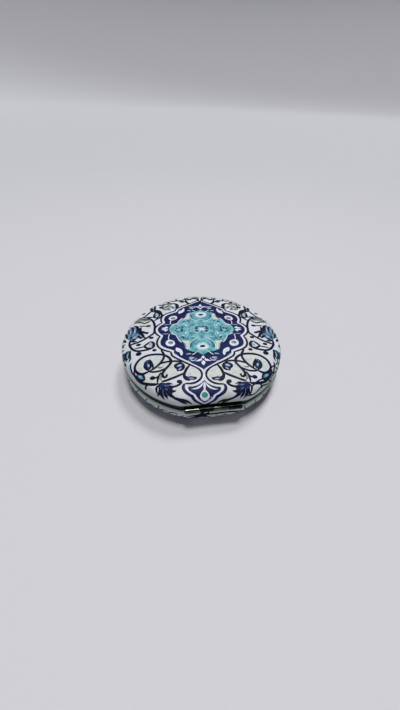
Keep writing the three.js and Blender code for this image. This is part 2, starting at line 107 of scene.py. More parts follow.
# How much of the hinge's draw-in the padding takes back below the edge, and over which depths
HINGE_BULGE = {"lid": 0.0, "base": 0.66}
BULGE_FROM = 1.7
BULGE_TO = 4.4

# Sheet sizes of the pressed and rolled pieces
RIM_SHEET = 0.4
RIM_WALL = 0.5
RIM_CORNER = 0.22
RIM_END_ROUND = 0.1
RIM_FILLET = 0.12
LIP = 0.8
LEAF_SHEET = 0.5
LEAF_BEND = 0.45
CUT_EDGE = 0.07
KNUCKLES = 4
KNUCKLE_GAP = 0.25
KNUCKLE_ROLL = 285
SEAT = 0.05
ROOM = 0.15
GLASS_BEVEL = 0.2
MAGNIFIER_CURVE = 600.0
RIM_BLEND = 0.02
KNUCKLE_LAP = 0.6
KNUCKLE_LEAD = 0.4
PIN_HEAD = 0.5
PIN_DOME = 0.3
PIN_SHOULDER = 0.25

# Steps round each turned piece
COVER_STEPS = 384
RIM_STEPS = 360
GLASS_STEPS = 160
PIN_STEPS = 32

# Openings in the rims for the hook's tongue and for the button
TONGUE_WIDTH = 4.4
SLOT_INNER = {"lid": 31.34, "base": 30.89}
SLOT_PAST = 0.3
BUTTON_FLANGE = 0.7
WINDOW_INNER = 31.0

# Place of the ornament on a cover: its middle and its turn against the hinge
ORNAMENT_MIDDLE = (0.385, 3.306)
ORNAMENT_TURN = np.radians(6.0)
GROWTH_BLEND = 0.1
PAINT_MARGIN = 0.02

# Fineness of the paint, in millimetres, and the points round a dot
LINE_STEP = 0.4
LEAF_STEP = 0.35
OUTLINE_STEP = 0.45
DOT_STEPS = 20

# The photograph's camera, seen from the mirror, and the mirror's place in the picture
CAMERA_AZIMUTH = -9.0
CAMERA_ELEVATION = 44.02
CAMERA_DISTANCE = 135.0
CAMERA_ROLL = 0.0272
SENSOR_HEIGHT = 24.0
PICTURE_HEIGHT = 710
PIXELS_PER_MM = 2.1535
PICTURE_SHIFT = (1.061, -6.528)


# Plain maths

def tint(red, green, blue):
    """A colour given as 0 to 255, as the linear light a shader takes."""
    c = np.array([red, green, blue]) / 255
    return (*np.where(c <= 0.04045, c / 12.92, ((c + 0.055) / 1.055) ** 2.4), 1.0)


def ease(low, high, x):
    """0 below low, 1 above high, and 3t^2 - 2t^3 between."""
    t = np.clip((x - low) / (high - low), 0, 1)
    return t * t * (3 - 2 * t)


def soft_least(a, b, width):
    """The smaller of a and b, rounded over about the given width: half of a + b less the length of
    (a - b, width)."""
    return (a + b - np.sqrt((a - b) ** 2 + width ** 2)) / 2


def length_along(line):
    """Length along a line of points, counted from its start."""
    return np.concatenate([[0], np.cumsum(np.linalg.norm(np.diff(line, axis=0), axis=1))])


def sideways(line):
    """Unit vectors square to a flat line of points, to its left."""
    slope = np.gradient(line, axis=0)
    side = np.stack([-slope[:, 1], slope[:, 0]], axis=1)
    return side / np.maximum(np.linalg.norm(side, axis=1, keepdims=True), 1e-9)


def smooth_line(points, step, closed=False):
    """A curve through the points (Catmull-Rom: each span is a cubic whose end slopes run parallel to the line
    between the neighbours), as points about step apart."""
    p = np.array(points, float)
    if closed:
        p = np.vstack([p[-1], p, p[0], p[1]])
    else:
        p = np.vstack([2 * p[0] - p[1], p, 2 * p[-1] - p[-2]])
    t = np.linspace(0, 1, 12, endpoint=False)[None, :, None]
    a, b, c, d = (p[i:len(p) - 3 + i][:, None, :] for i in range(4))
    square, cube = 2 * a - 5 * b + 4 * c - d, 3 * b - a - 3 * c + d
    fine = 0.5 * (2 * b + (c - a) * t + square * t ** 2 + cube * t ** 3)
    fine = np.vstack([fine.reshape(-1, p.shape[1]), p[-2]])
    along = length_along(fine)
    even = np.linspace(0, along[-1], max(4, int(np.ceil(along[-1] / step)) + 1))
    line = np.stack([np.interp(even, along, fine[:, k]) for k in range(p.shape[1])], axis=1)
    return line[:-1] if closed else line


def arc(centre, radius, start, end, steps):
    """Points (a, b) of an arc about a centre, from one angle in degrees to another."""
    t = np.radians(np.linspace(start, end, steps))
    return np.stack([centre[0] + radius * np.cos(t), centre[1] + radius * np.sin(t)], axis=1)


def around(count):
    """Angles of count even steps round a circle."""
    return np.linspace(0, 2 * np.pi, count, endpoint=False)


def turned(radius, angle, depth):
    """Points at a radius, an angle from the hinge towards +X and a depth: (r sin a, -r cos a, depth)."""
    return np.stack(np.broadcast_arrays(radius * np.sin(angle), -radius * np.cos(angle), depth), axis=-1)


# The padded cover's surface

def crown_profile():
    """Arc length, radius and depth of the cover's outside from its middle to its lower edge. The curve is
    (r / R)^round + (depth / height)^side = 1, cut to the flat by a soft minimum. Just above the rim it is
    tucked in by a quarter of an ellipse."""
    angle = (np.pi / 2) * (1 - np.linspace(0, 1, 3000) ** 1.6)
    radius = COVER_RADIUS * np.cos(angle) ** (2 / CROWN_ROUND)
    depth = COVER_START + CROWN_HEIGHT * np.sin(angle) ** (2 / CROWN_SIDE)
    depth = soft_least(depth, HALF_DEPTH, FLAT_BLEND)
    near_edge = np.clip(1 - (depth - COVER_START) / TUCK, 0, 1)
    radius = radius - TUCK_IN * (1 - np.sqrt(1 - near_edge ** 2))
    return length_along(np.stack([radius, depth], axis=1)), radius, depth


ALONG, CROWN_RADIUS, CROWN_DEPTH = crown_profile()
CROWN_LENGTH = ALONG[-1]


def drawn_in(radius, angle, width, share=1.0):
    """A ring's radius once the hinge's straight edge has cut it: the soft minimum of the radius and the
    edge's distance over the cosine of the angle from the hinge. Rings well inside stay round. share is how
    much of the edge's inset is left."""
    edge = radius - share * CHORD_INSET * ease(CHORD_FROM, CHORD_TO, radius)
    cosine = np.cos(angle)
    line = np.where(cosine > 0.05, edge / np.maximum(cosine, 0.05), 4 * COVER_RADIUS)
    return np.where(radius > 1e-6, soft_least(radius, line, width), 0)


def relief(x, y):
    """The soft unevenness of padded leather, as a sum of a few slow waves, in millimetres."""
    waves = np.sin(0.31 * x + 0.17 * y + 1.1) + np.sin(0.13 * x - 0.36 * y + 2.3)
    waves = waves + 0.7 * np.sin(0.53 * x + 0.41 * y) + 0.5 * np.sin(0.71 * y - 0.47 * x + 0.6)
    return RELIEF * waves


def profile_at(along):
    """The crown's radius and depth at an arc length."""
    return np.interp(along, ALONG, CROWN_RADIUS), np.interp(along, ALONG, CROWN_DEPTH)


def on_crown(along, angle, lift, bulge=0.0):
    """Points on the cover's outside, given arc length from the middle and angle from the hinge. lift moves
    them out along the profile's normal. bulge lets the padding swell out again below the hinge's edge."""
    radius, depth = profile_at(along)
    before = profile_at(np.clip(along - 0.05, 0, CROWN_LENGTH))
    after = profile_at(np.clip(along + 0.05, 0, CROWN_LENGTH))
    d_radius, d_depth = after[0] - before[0], after[1] - before[1]
    size = np.maximum(np.hypot(d_radius, d_depth), 1e-9)
    share = 1 - bulge * ease(BULGE_FROM, BULGE_TO, depth)
    flat = drawn_in(radius, angle, CORNER_BLEND + CORNER_SPREAD * (1 - radius / COVER_RADIUS), share)
    rise = lift + relief(flat * np.sin(angle), flat * np.cos(angle)) * ease(2, 8, CROWN_LENGTH - along)
    return turned(flat - rise * d_depth / size, angle, depth + rise * d_radius / size)


def on_ornament(points, lift, bulge):
    """Ornament points (across, away from the hinge) laid on the cover: turned, moved to the ornament's
    middle, and read as arc length and angle, so that nothing stretches along a radius. Where the hinge
    draws the cover in, the arc length grows by as much."""
    across, away = points[..., 0], points[..., 1]
    x = ORNAMENT_MIDDLE[0] + across * np.cos(ORNAMENT_TURN) + away * np.sin(ORNAMENT_TURN)
    y = ORNAMENT_MIDDLE[1] - across * np.sin(ORNAMENT_TURN) + away * np.cos(ORNAMENT_TURN)
    along, angle = np.hypot(x, y), np.arctan2(x, -y)
    place = along
    for _ in range(3):
        radius = profile_at(np.minimum(place, CROWN_LENGTH))[0]
        place = along + radius - drawn_in(radius, angle, GROWTH_BLEND)
    return on_crown(np.minimum(place, CROWN_LENGTH - PAINT_MARGIN), angle, lift, bulge)


# Meshes

def ring_quads(count, size):
    """Faces between neighbours of count closed rings with size points each."""
    index = np.arange(count * size).reshape(count, size)
    beside = np.roll(index, -1, axis=1)
    return np.stack([index[:-1], beside[:-1], beside[1:], index[1:]], axis=-1).reshape(-1, 4)


def fan(ring, pole):
    """Triangles from a closed ring of point numbers to one more point."""
    return np.stack([np.roll(ring, -1), ring, np.full(len(ring), pole)], axis=-1)


class Skin:
    """Gathers closed surfaces, each a set of points with its faces, into one mesh."""

    def __init__(self):
        self.points = []
        self.faces = []
        self.count = 0

    def add(self, points, faces):
        points = points.reshape(-1, 3)
        self.points.append(points)
        self.faces += [part + self.count for part in faces]
        self.count += len(points)

    def tube(self, rings, poles=None):
        """rings is (n, m, 3): n closed rings of m points, closed at each end by a fan round a pole. The
        poles are given or the middles of the end rings."""
        n, m, _ = rings.shape
        if poles is None:
            poles = rings[[0, -1]].mean(axis=1)
        ends = [fan(np.arange(m), n * m), fan(np.arange(m) + (n - 1) * m, n * m + 1)[:, ::-1]]
        self.add(np.vstack([rings.reshape(-1, 3), poles]), [ring_quads(n, m), *ends])

    def loop(self, rings):
        """rings is (n, m, 3): a closed ring of closed sections."""
        n, m, _ = rings.shape
        self.add(rings, [ring_quads(n + 1, m) % (n * m)])


def to_row(points, half):
    """Points of a half's own frame, in millimetres, as row-frame metres."""
    return (points * HALF_TURN[half] + np.array([0, 0, PARTING])) * MM


def add_object(name, data):
    """A new object in the scene."""
    made = bpy.data.objects.new(name, data)
    bpy.context.scene.collection.objects.link(made)
    return made


def turn_outwards(mesh):
    """Every closed shell's faces point outwards."""
    work = bmesh.new()
    work.from_mesh(mesh)
    bmesh.ops.recalc_face_normals(work, faces=work.faces)
    work.to_mesh(mesh)
    work.free()


def shade(mesh, angle):
    """Smooth shading, with edges sharper than the angle in degrees kept sharp."""
    mesh.polygons.foreach_set("use_smooth", np.ones(len(mesh.polygons), bool))
    mesh.set_sharp_from_angle(angle=np.radians(angle))
    mesh.update()


def make_piece(name, skin, half, body, finish, angle):
    """An object from surfaces gathered in a half's frame, with its normals out and edges sharper than the
    angle kept sharp. It rides on a body and takes its finish."""
    mesh = bpy.data.meshes.new(name)
    points = to_row(np.vstack(skin.points), half)
    mesh.from_pydata(points.tolist(), [], [face for part in skin.faces for face in part.tolist()])
    mesh.update()
    turn_outwards(mesh)
    shade(mesh, angle)
    mesh.materials.append(finish.material)
    piece = add_object(name, mesh)
    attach(piece, body)
    return piece


# Shader maths

class Value:
    """A socket in shader maths: + - * and abs on it add Math nodes."""

    def __init__(self, finish, socket):
        self.finish = finish
        self.socket = socket

    def maths(self, operation, *values):
        node = self.finish.node("ShaderNodeMath", {"operation": operation}, dict(enumerate(values)))
        return Value(self.finish, node.outputs[0])

    def __add__(self, other):
        return self.maths("ADD", self, other)

    __radd__ = __add__

    def __mul__(self, other):
        return self.maths("MULTIPLY", self, other)

    __rmul__ = __mul__

    def __sub__(self, other):
        return self.maths("SUBTRACT", self, other)

    def __rsub__(self, other):
        return self.maths("SUBTRACT", other, self)

    def __abs__(self):
        return self.maths("ABSOLUTE", self)

    def over(self, low, high):
        """0 below low, 1 above high, eased between."""
        inputs = {0: self, 1: low, 2: high}
        node = self.finish.node("ShaderNodeMapRange", {"interpolation_type": "SMOOTHSTEP"}, inputs)
        return Value(self.finish, node.outputs[0])


class Finish:
    """A material whose surface is one Principled shader."""

    def __init__(self, name, roughness=0.5, metallic=0.0):
        self.material = bpy.data.materials.new(name)
        self.material.use_nodes = True
        self.tree = self.material.node_tree
        self.tree.nodes.clear()
        output = self.node("ShaderNodeOutputMaterial")
        inputs = {"Roughness": roughness, "Metallic": metallic}
        self.surface = self.node("ShaderNodeBsdfPrincipled", {}, inputs)
        self.tree.links.new(self.surface.outputs[0], output.inputs["Surface"])
        self.place = Value(self, self.node("ShaderNodeTexCoord").outputs["Object"])

    def join(self, socket, value):
        """A socket takes a link or a plain value."""
        if isinstance(value, Value):
            self.tree.links.new(value.socket, socket)
        else:
            socket.default_value = value

    def node(self, kind, settings=None, inputs=None):
        """A node: its settings first, then values or links for its sockets."""
        made = self.tree.nodes.new(kind)
        for key, setting in (settings or {}).items():
            setattr(made, key, setting)
        for key, value in (inputs or {}).items():
            self.join(made.inputs[key], value)
        return made

    def noise(self, scale, detail=2.0, roughness=0.5):
        inputs = {"Vector": self.place, "Scale": scale, "Detail": detail, "Roughness": roughness}
        return Value(self, self.node("ShaderNodeTexNoise", {}, inputs).outputs[0])

    def cells(self, scale, feature="DISTANCE_TO_EDGE"):
        inputs = {"Vector": self.place, "Scale": scale}
        return Value(self, self.node("ShaderNodeTexVoronoi", {"feature": feature}, inputs).outputs[0])

    def mix(self, share, first, second):
        """A colour that goes from first to second as share goes from 0 to 1."""
        node = self.node("ShaderNodeMix", {"data_type": "RGBA"}, {0: share, 6: first, 7: second})
        return Value(self, node.outputs[2])

    def set(self, **sockets):
        """Sockets of the shader, named in small letters."""
        for name, value in sockets.items():
            self.join(self.surface.inputs[name.replace("_", " ").title().replace("Ior", "IOR")], value)

    def bump(self, height, distance, strength):
        inputs = {"Height": height, "Distance": distance, "Strength": strength}
        self.set(normal=Value(self, self.node("ShaderNodeBump", {}, inputs).outputs[0]))
        return self


def leather_ground():
    """Printed pale leather: lilac white that turns greenish cream in soft patches and greyer green towards
    the rim, partly its own tone and partly painted shade of the walls, with a fine grain. The lid's lower
    edge is painted dark as shade above the rim, a little higher at the front left."""
    finish = Finish("pale_painted_leather")
    finish.set(specular_ior_level=0.25)
    soft_patches = finish.noise(95).over(0.42, 0.66)
    mottle = finish.noise(900, 3, 0.6).over(0.3, 0.75)
    colour = finish.mix(soft_patches, tint(210, 213, 223), tint(198, 206, 197))
    colour = finish.mix(mottle * 0.3, colour, tint(236, 238, 240))
    parts = finish.node("ShaderNodeSeparateXYZ", {}, {0: finish.place})
    x, y, z = (Value(finish, socket) for socket in parts.outputs)
    height = z - PARTING * MM
    # Greyer green on the walls near the parting plane: partly the leather's own tone, partly painted shade.
    wall = 1 - abs(height).over(0.0018, 0.0074)
    colour = finish.mix(wall * (0.75 + 0.25 * soft_patches), colour, tint(170, 190, 176))
    # A near-black band painted as shade along the lid's lower edge above the rim, higher at the front left.
    left = 1 - x.over(-0.012, 0.024)
    front = 1 - y.over(-0.02, 0.006)
    painted_edge_shade = height.over(-0.0002, 0.0) * (1 - (height - 0.0006 * left * front).over(0.0015, 0.002))
    colour = finish.mix(painted_edge_shade * 0.94, colour, tint(22, 27, 24))
    grain = finish.cells(2600).over(0.0, 0.16) + finish.noise(5200) * 0.5
    finish.set(base_color=colour, roughness=0.44 + 0.14 * mottle)
    return finish.bump(grain, 0.00002, 0.45)


def paint(name, dark, light, cloud_scale):
    """One paint: two tones of a colour, mixed by brush-sized clouds."""
    finish = Finish(name + "_paint")
    finish.set(specular_ior_level=0.12)
    clouds = finish.noise(cloud_scale, 3, 0.6).over(0.3, 0.7)
    finish.set(base_color=finish.mix(clouds, tint(*dark), tint(*light)), roughness=0.42 + 0.12 * clouds)
    return finish.bump(finish.noise(4200) + finish.cells(2600).over(0, 0.16), 0.000015, 0.35)


def plated(name, dark, light, roughness, haze):
    """Plated metal: mirror-like nickel with faint clouds and rubbed spots, in two given tones, which for the
    rims are near black as painted shade and painted dark reflection.
    """
    finish = Finish(name, metallic=1.0)
    clouds = finish.noise(350, 3, 0.6).over(0.35, 0.7)
    finish.set(base_color=finish.mix(clouds, tint(*dark), tint(*light)), roughness=roughness + haze * clouds)
    return finish.bump(finish.noise(2500), 0.000004, 0.25)


def pressed_steel():
    """Dull stamped sheet with a fine tooth."""
    finish = Finish("pressed_steel", metallic=1.0)
    clouds = finish.noise(600, 3, 0.6)
    colour = finish.mix(clouds, tint(150, 153, 155), tint(190, 192, 194))
    finish.set(base_color=colour, roughness=0.35 + 0.25 * clouds)
    return finish.bump(finish.noise(6000), 0.000006, 0.4)


def foam(name, dark, light):
    """Open foam: small dark pores in a soft pale body."""
    finish = Finish(name, roughness=0.95)
    pores = finish.cells(1800, "F1").over(0.15, 0.6)
    finish.set(base_color=finish.mix(pores, tint(*dark), tint(*light)))
    return finish.bump(pores, 0.0001, 0.6)


def silvered_glass():
    """A clear mirror with the faintest haze."""
    finish = Finish("silvered_glass", metallic=1.0)
    haze = finish.noise(120).over(0.5, 0.8)
    colour = finish.mix(haze, tint(236, 241, 242), tint(228, 235, 236))
    finish.set(base_color=colour, roughness=0.02 + 0.02 * haze)
    return finish


leather_finish = leather_ground()
# Near-black plating on the rims, the lid's leaf and the small plated parts: painted shade and painted dark
# reflection of bright nickel.
shaded_plating = plated("plating_with_painted_shade", (16, 20, 17), (34, 40, 35), roughness=0.22, haze=0.12)
# A lighter copy of the same plating for the base's leaf and the pin: a painted lit copy.
lit_plating = plated("plating_with_painted_highlight", (58, 64, 56), (92, 100, 88), roughness=0.08, haze=0.05)
steel_finish = pressed_steel()
foam_finish = foam("padding_foam", (150, 146, 134), (216, 211, 198))
tape_finish = foam("white_foam_tape", (214, 212, 204), (242, 240, 232))
glass_finish = silvered_glass()
PAINTS = {
    # paint: how high it lies over the leather in millimetres, how fine its clouds are, dark and light tone
    "cream": (0.055, 700, (196, 199, 186), (218, 219, 206)),
    "mist": (0.055, 700, (190, 197, 195), (212, 217, 212)),
    "white": (0.08, 700, (208, 212, 228), (232, 234, 244)),
    "navy": (0.035, 700, (12, 20, 64), (28, 38, 92)),
    "ink": (0.09, 700, (5, 8, 24), (16, 22, 54)),
    "turquoise": (0.045, 620, (70, 138, 150), (128, 186, 194)),
    "teal": (0.055, 700, (44, 116, 140), (78, 146, 164)),
    "deep_teal": (0.065, 700, (20, 66, 88), (36, 88, 110)),
    "steel_blue": (0.065, 700, (66, 98, 128), (106, 142, 170)),
    "pale_blue": (0.1, 700, (128, 160, 190), (176, 202, 222)),
    "green": (0.095, 700, (58, 126, 116), (92, 158, 144)),
    "sage": (0.09, 700, (96, 118, 110), (136, 158, 144)),
    "pale_turquoise": (0.072, 700, (146, 201, 209), (190, 226, 232)),
}
paint_finishes = {name: paint(name, dark, light, clouds) for name, (_, clouds, dark, light) in PAINTS.items()}


# Paint layers

# A stroke's section: its points across as shares of the half width, and up as shares of the paint's height
BEAD_ACROSS = np.array([-1.0, -0.72, 0.0, 0.72, 1.0, 0.0])
BEAD_UP = np.array([-0.6, 0.75, 1.0, 0.75, -0.6, -1.4])
PLATE_RINGS_APART = 0.8
PLATE_EDGE = 0.06


class Layer:
    """Everything on one cover in one paint. Strokes are low beads, fills are low plates."""

    def __init__(self, paint_name, half):
        self.lift = PAINTS[paint_name][0]
        self.bulge = HINGE_BULGE[half]
        self.skin = Skin()

    def lay(self, points, heights):
        """Ornament points on the cover, at heights given as shares of the paint's own."""
        return on_ornament(points, self.lift * heights, self.bulge)

    def stroke(self, points, width, ends):
        """A bead along a curve. Its half width is full at the middle and falls to a share of that at each
        end, as the root of the distance to the end over 1.5 widths."""
        line = smooth_line(points, LINE_STEP)
        along = length_along(line)
        start, end = (
            share + (1 - share) * np.sqrt(np.clip(way / (1.5 * width), 0, 1))
            for share, way in zip(ends, (along, along[-1] - along))
        )
        self.bead(line, width / 2 * np.minimum(start, end))

    def leaf(self, points, width, fullest=0.45):
        """A stroke whose half width swells from a point to its fullest place and back: the sine, to the
        power 0.8, of the share of its length, which is bent so that the fullest place is at a half."""
        line = smooth_line(points, LEAF_STEP)
        along = length_along(line)
        share = (along / along[-1]) ** (np.log(0.5) / np.log(fullest))
        self.bead(line, width / 2 * np.maximum(np.sin(np.pi * share), 0.06) ** 0.8)

    def bead(self, line, half_width):
        """The section carried along a line: five points over the leather and one under it."""
        across = (half_width[:, None] * BEAD_ACROSS)[..., None]
        self.skin.tube(self.lay(line[:, None] + sideways(line)[:, None] * across, BEAD_UP))

    def fill(self, outline, middle, plain=False):
        """A plate inside a closed curve that is seen whole from its middle: rings at equal shares of the
        way from the middle to the curve, the last one let into the leather, closed below by a fan. The
        curve goes through the outline's points, and a plain outline is taken as it is."""
        edge = np.array(outline, float) if plain else smooth_line(outline, OUTLINE_STEP, closed=True)
        centre = edge.mean(axis=0) if middle is None else np.array(middle, float)
        reach = np.linalg.norm(edge - centre, axis=1).max()
        count = max(2, int(np.ceil(reach / PLATE_RINGS_APART)))
        inside = np.linspace(0, 1, count + 1)[1:] - PLATE_EDGE / max(reach, 0.3)
        shares = np.append(inside, [1.0, 0.5])
        heights = np.append(np.ones(count), [-0.8, -1.6])
        rings = self.lay(centre + (edge - centre) * shares[:, None, None], heights[:, None])
        self.skin.tube(rings, self.lay(np.array([centre, centre]), np.array([1.0, -2.0])))

    def dot(self, centre, radius, stretch):
        """An ellipse: its half width is radius, its half length radius times stretch."""
        angle = around(DOT_STEPS)
        ring = radius * np.stack([np.cos(angle), stretch * np.sin(angle)], axis=1)
        self.fill(ring + np.array(centre, float), centre, plain=True)


# The ornament. Points are given for one quarter, as (across, towards the hinge) from its middle

# How far the drawing is spread on the leather: at its middle, and the change for each millimetre from there
HINGE_ACROSS = (1.007, -0.002)
HINGE_ALONG = (1.05, -0.0018)
AWAY_ACROSS = (1.007, 0.0024)
AWAY_ALONG = (1.045, 0.0052)
FAR_ACROSS = (1.0, -0.004)
FAR_ALONG = (0.88, 0.0026)
FAR_MIDDLE_ALONG = (0.8, 0.0026)


def spread(pair, distance):
    """A spread at a distance from the ornament's middle."""
    return pair[0] + pair[1] * distance


def near(points, side):
    """A quarter's points on the hinge half of the ornament, with side -1 or 1 across. The leather is pulled
    over its padding: the drawing is spread most near the middle. Away from the hinge it widens outwards."""
    p = np.array(points, float)
    t = np.abs(p[:, 1])
    hinge_half = p[:, 1] >= 0
    across = np.where(hinge_half, spread(HINGE_ACROSS, t), spread(AWAY_ACROSS, t))
    along = np.where(hinge_half, spread(HINGE_ALONG, t), spread(AWAY_ALONG, t))
    return np.stack([side * p[:, 0] * across, -p[:, 1] * along], axis=1)


def far(points, side, spread_along=FAR_ALONG):
    """The same points on the other half, where the drawing is pulled narrower and shorter."""
    p = near(points, side)
    t = np.abs(p[:, 1])
    return np.stack([p[:, 0] * spread(FAR_ACROSS, t), -p[:, 1] * spread(spread_along, t)], axis=1)


def far_middle(points, side):
    """The other half close to the ornament's middle, where it is shorter still."""
    return far(points, side, FAR_MIDDLE_ALONG)


def as_drawn(points, side):
    """Points given as (across, away from the hinge), only mirrored."""
    return np.array(points, float) * (side, 1)


HINGE_SIDE = [(near, -1), (near, 1)]
QUARTERS = HINGE_SIDE + [(far, -1), (far, 1)]
MIDDLE_QUARTERS = HINGE_SIDE + [(far_middle, -1), (far_middle, 1)]


class Patch:
    """A patch of the ornament on a cover: place(points, spot) gives ornament points, where spot is the side
    or what else place takes. It paints lists of marks, a row for each, with their widths times weight."""

    def __init__(self, layers, place, spot):
        self.layers = layers
        self.place = place
        self.spot = spot

    def at(self, points):
        return self.place(points, self.spot)

    def lines(self, rows, weight=1.0, ends=(0.25, 0.25)):
        """Rows of paint, width and points."""
        for paint_name, width, points in rows:
            self.layers[paint_name].stroke(self.at(points), weight * width, ends)

    def leaves(self, rows, weight=1.0):
        """Rows of paint, width and points of a leaf's middle line."""
        for paint_name, width, points in rows:
            self.layers[paint_name].leaf(self.at(points), weight * width)

    def dots(self, rows, weight=1.0):
        """Rows of paint, middle, half width and the dot's length over its width."""
        for paint_name, centre, radius, stretch in rows:
            self.layers[paint_name].dot(self.at([centre])[0], weight * radius, stretch)

    def plate(self, paint_name, outline, middle=None):
        """A plate inside an outline that is seen whole from its middle, or from its mean point."""
        centre = None if middle is None else self.at([middle])[0]
        self.layers[paint_name].fill(self.at(outline), centre)


def patches(layers, quarters):
    """One patch for each quarter."""
    return [Patch(layers, place, side) for place, side in quarters]


def inked(rows):
    """Rows without their paint, as rows of ink."""
    return [("ink", *row) for row in rows]


def joined(parts):
    """The parts of a quarter's outline as one fine line that stays within the quarter."""
    lines = [smooth_line(part, LINE_STEP)[:-1] for part in parts]
    line = np.vstack([*lines, parts[-1][-1]])
    return line[line[:, 1] >= 0]


def all_round(line, quarters):
    """A quarter's outline as one closed curve round the whole ornament."""
    near_left, near_right, far_left, far_right = (place(line, side) for place, side in quarters)
    return np.vstack([near_left, near_right[::-1], far_right, far_left[::-1]])


def both_sides(outline, place):
    """Half an outline and its mirror image as one closed curve."""
    return np.vstack([place(outline, 1), place(outline[1:-1], -1)[::-1]])


OUTLINE = [
    [(20.9, -0.4), (20.75, 1.4), (20.1, 3.1), (19.2, 4.2), (18.3, 5.0)],
    [(18.3, 4.9), (19.1, 6.3), (19.5, 8.1), (19.5, 9.7), (19.0, 11.2), (18.1, 12.3), (16.9, 13.2),
     (15.2, 14.1), (13.5, 14.8)],
    [(13.4, 14.6), (13.35, 15.8), (12.8, 17.1), (11.5, 18.2), (10.0, 19.3), (8.4, 20.4), (6.9, 21.4),
     (5.3, 22.4), (3.9, 23.3), (2.5, 24.4), (1.4, 25.6), (0.9, 26.9), (0.95, 28.3), (1.7, 29.6),
     (3.0, 30.7), (4.6, 31.4), (6.3, 31.7), (7.8, 31.6)],
]
WHITE_BAND = [
    [(19.85, -0.4), (19.65, 1.3), (18.95, 2.8), (18.0, 3.9), (17.1, 4.8)],
    [(17.2, 4.8), (17.95, 6.4), (18.35, 8.0), (18.3, 9.5), (17.9, 10.7), (16.9, 11.8), (15.6, 12.6),
     (14.2, 13.3), (12.5, 14.1)],
    [(12.4, 14.0), (12.5, 15.2), (11.9, 16.5), (10.7, 17.6), (9.2, 18.7), (7.7, 19.8), (6.2, 20.9),
     (4.5, 22.1), (2.9, 23.2), (1.4, 24.3), (0.15, 25.4)],
]
TURQUOISE_EDGE = [
    (14.5, 0.0), (14.2, 1.6), (13.4, 3.0), (12.1, 3.8), (11.2, 4.5), (10.8, 5.7), (10.3, 7.0), (9.8, 8.2),
    (8.7, 9.1), (7.9, 10.1), (7.6, 11.6), (7.4, 13.0), (6.4, 13.9), (5.2, 14.6), (3.6, 15.4), (2.2, 15.6),
    (1.2, 16.4), (0.0, 17.2),
]
CREAM_WEDGE = [
    (5.6, 8.2), (7.2, 8.1), (8.4, 7.7), (8.8, 8.2), (8.2, 9.0), (7.4, 9.9), (7.0, 11.4), (6.9, 13.0),
    (6.3, 13.6), (5.9, 12.4), (5.9, 10.2),
]
BLOOM = [(11.7, 9.9), (12.0, 8.5), (13.0, 7.6), (14.4, 7.2), (15.5, 8.0), (15.9, 9.3), (15.4, 10.6),
         (14.3, 11.3), (12.9, 11.4), (12.2, 10.9)]
WHITE_LEAF = [(10.9, 12.2), (11.5, 12.6), (11.5, 13.6), (10.9, 14.7), (9.9, 15.1), (9.6, 16.1), (9.1, 17.1),
              (8.5, 16.2), (8.6, 14.6), (9.2, 13.3)]
MEDALLION_MARKS = [
    # colour, width, points of a line
    ("white", 0.5, [(14.0, 3.0), (12.2, 3.9), (11.3, 4.5), (10.85, 5.8), (10.3, 7.1), (9.7, 8.3),
                    (8.8, 9.3)]),
    ("white", 0.5, [(14.1, 3.6), (14.5, 4.8), (14.6, 6.0), (14.5, 7.3)]),
    ("pale_blue", 0.42, [(14.3, 3.4), (15.8, 3.5), (17.3, 3.4)]),
    ("pale_turquoise", 0.65, [(1.2, 5.5), (2.4, 6.3), (3.6, 7.5), (4.8, 8.8), (5.5, 10.2), (5.75, 12.2),
                              (5.2, 13.8)]),
    ("pale_turquoise", 0.42, [(0.0, 8.3), (1.2, 7.4), (2.5, 6.2), (3.9, 5.4), (5.4, 5.6)]),
    ("pale_turquoise", 0.5, [(1.2, 13.9), (2.4, 15.0), (3.5, 15.9)]),
    ("white", 0.55, [(2.9, 15.6), (3.9, 16.4), (4.7, 16.9)]),
    ("pale_turquoise", 0.34, [(14.2, 1.2), (12.9, 2.7), (11.5, 3.3), (10.2, 4.0)]),
    ("pale_turquoise", 0.34, [(1.5, 3.1), (2.9, 2.4), (3.6, 1.2), (3.3, 0.1)]),
    ("pale_turquoise", 0.34, [(4.9, 1.9), (6.1, 2.9), (6.2, 4.4), (7.2, 5.5)]),
    ("pale_turquoise", 0.3, [(5.9, 0.2), (6.4, 1.6), (7.8, 2.9), (9.4, 3.1)]),
    ("white", 0.5, [(0.6, 18.5), (1.1, 19.7), (2.2, 20.3), (3.5, 20.5)]),
    ("ink", 0.35, [(11.6, 12.0), (10.4, 12.1), (9.2, 13.0), (8.3, 14.2), (8.2, 15.6)]),
    ("white", 0.5, [(2.9, 18.8), (3.5, 19.9), (4.7, 20.1), (5.7, 19.2)]),
]
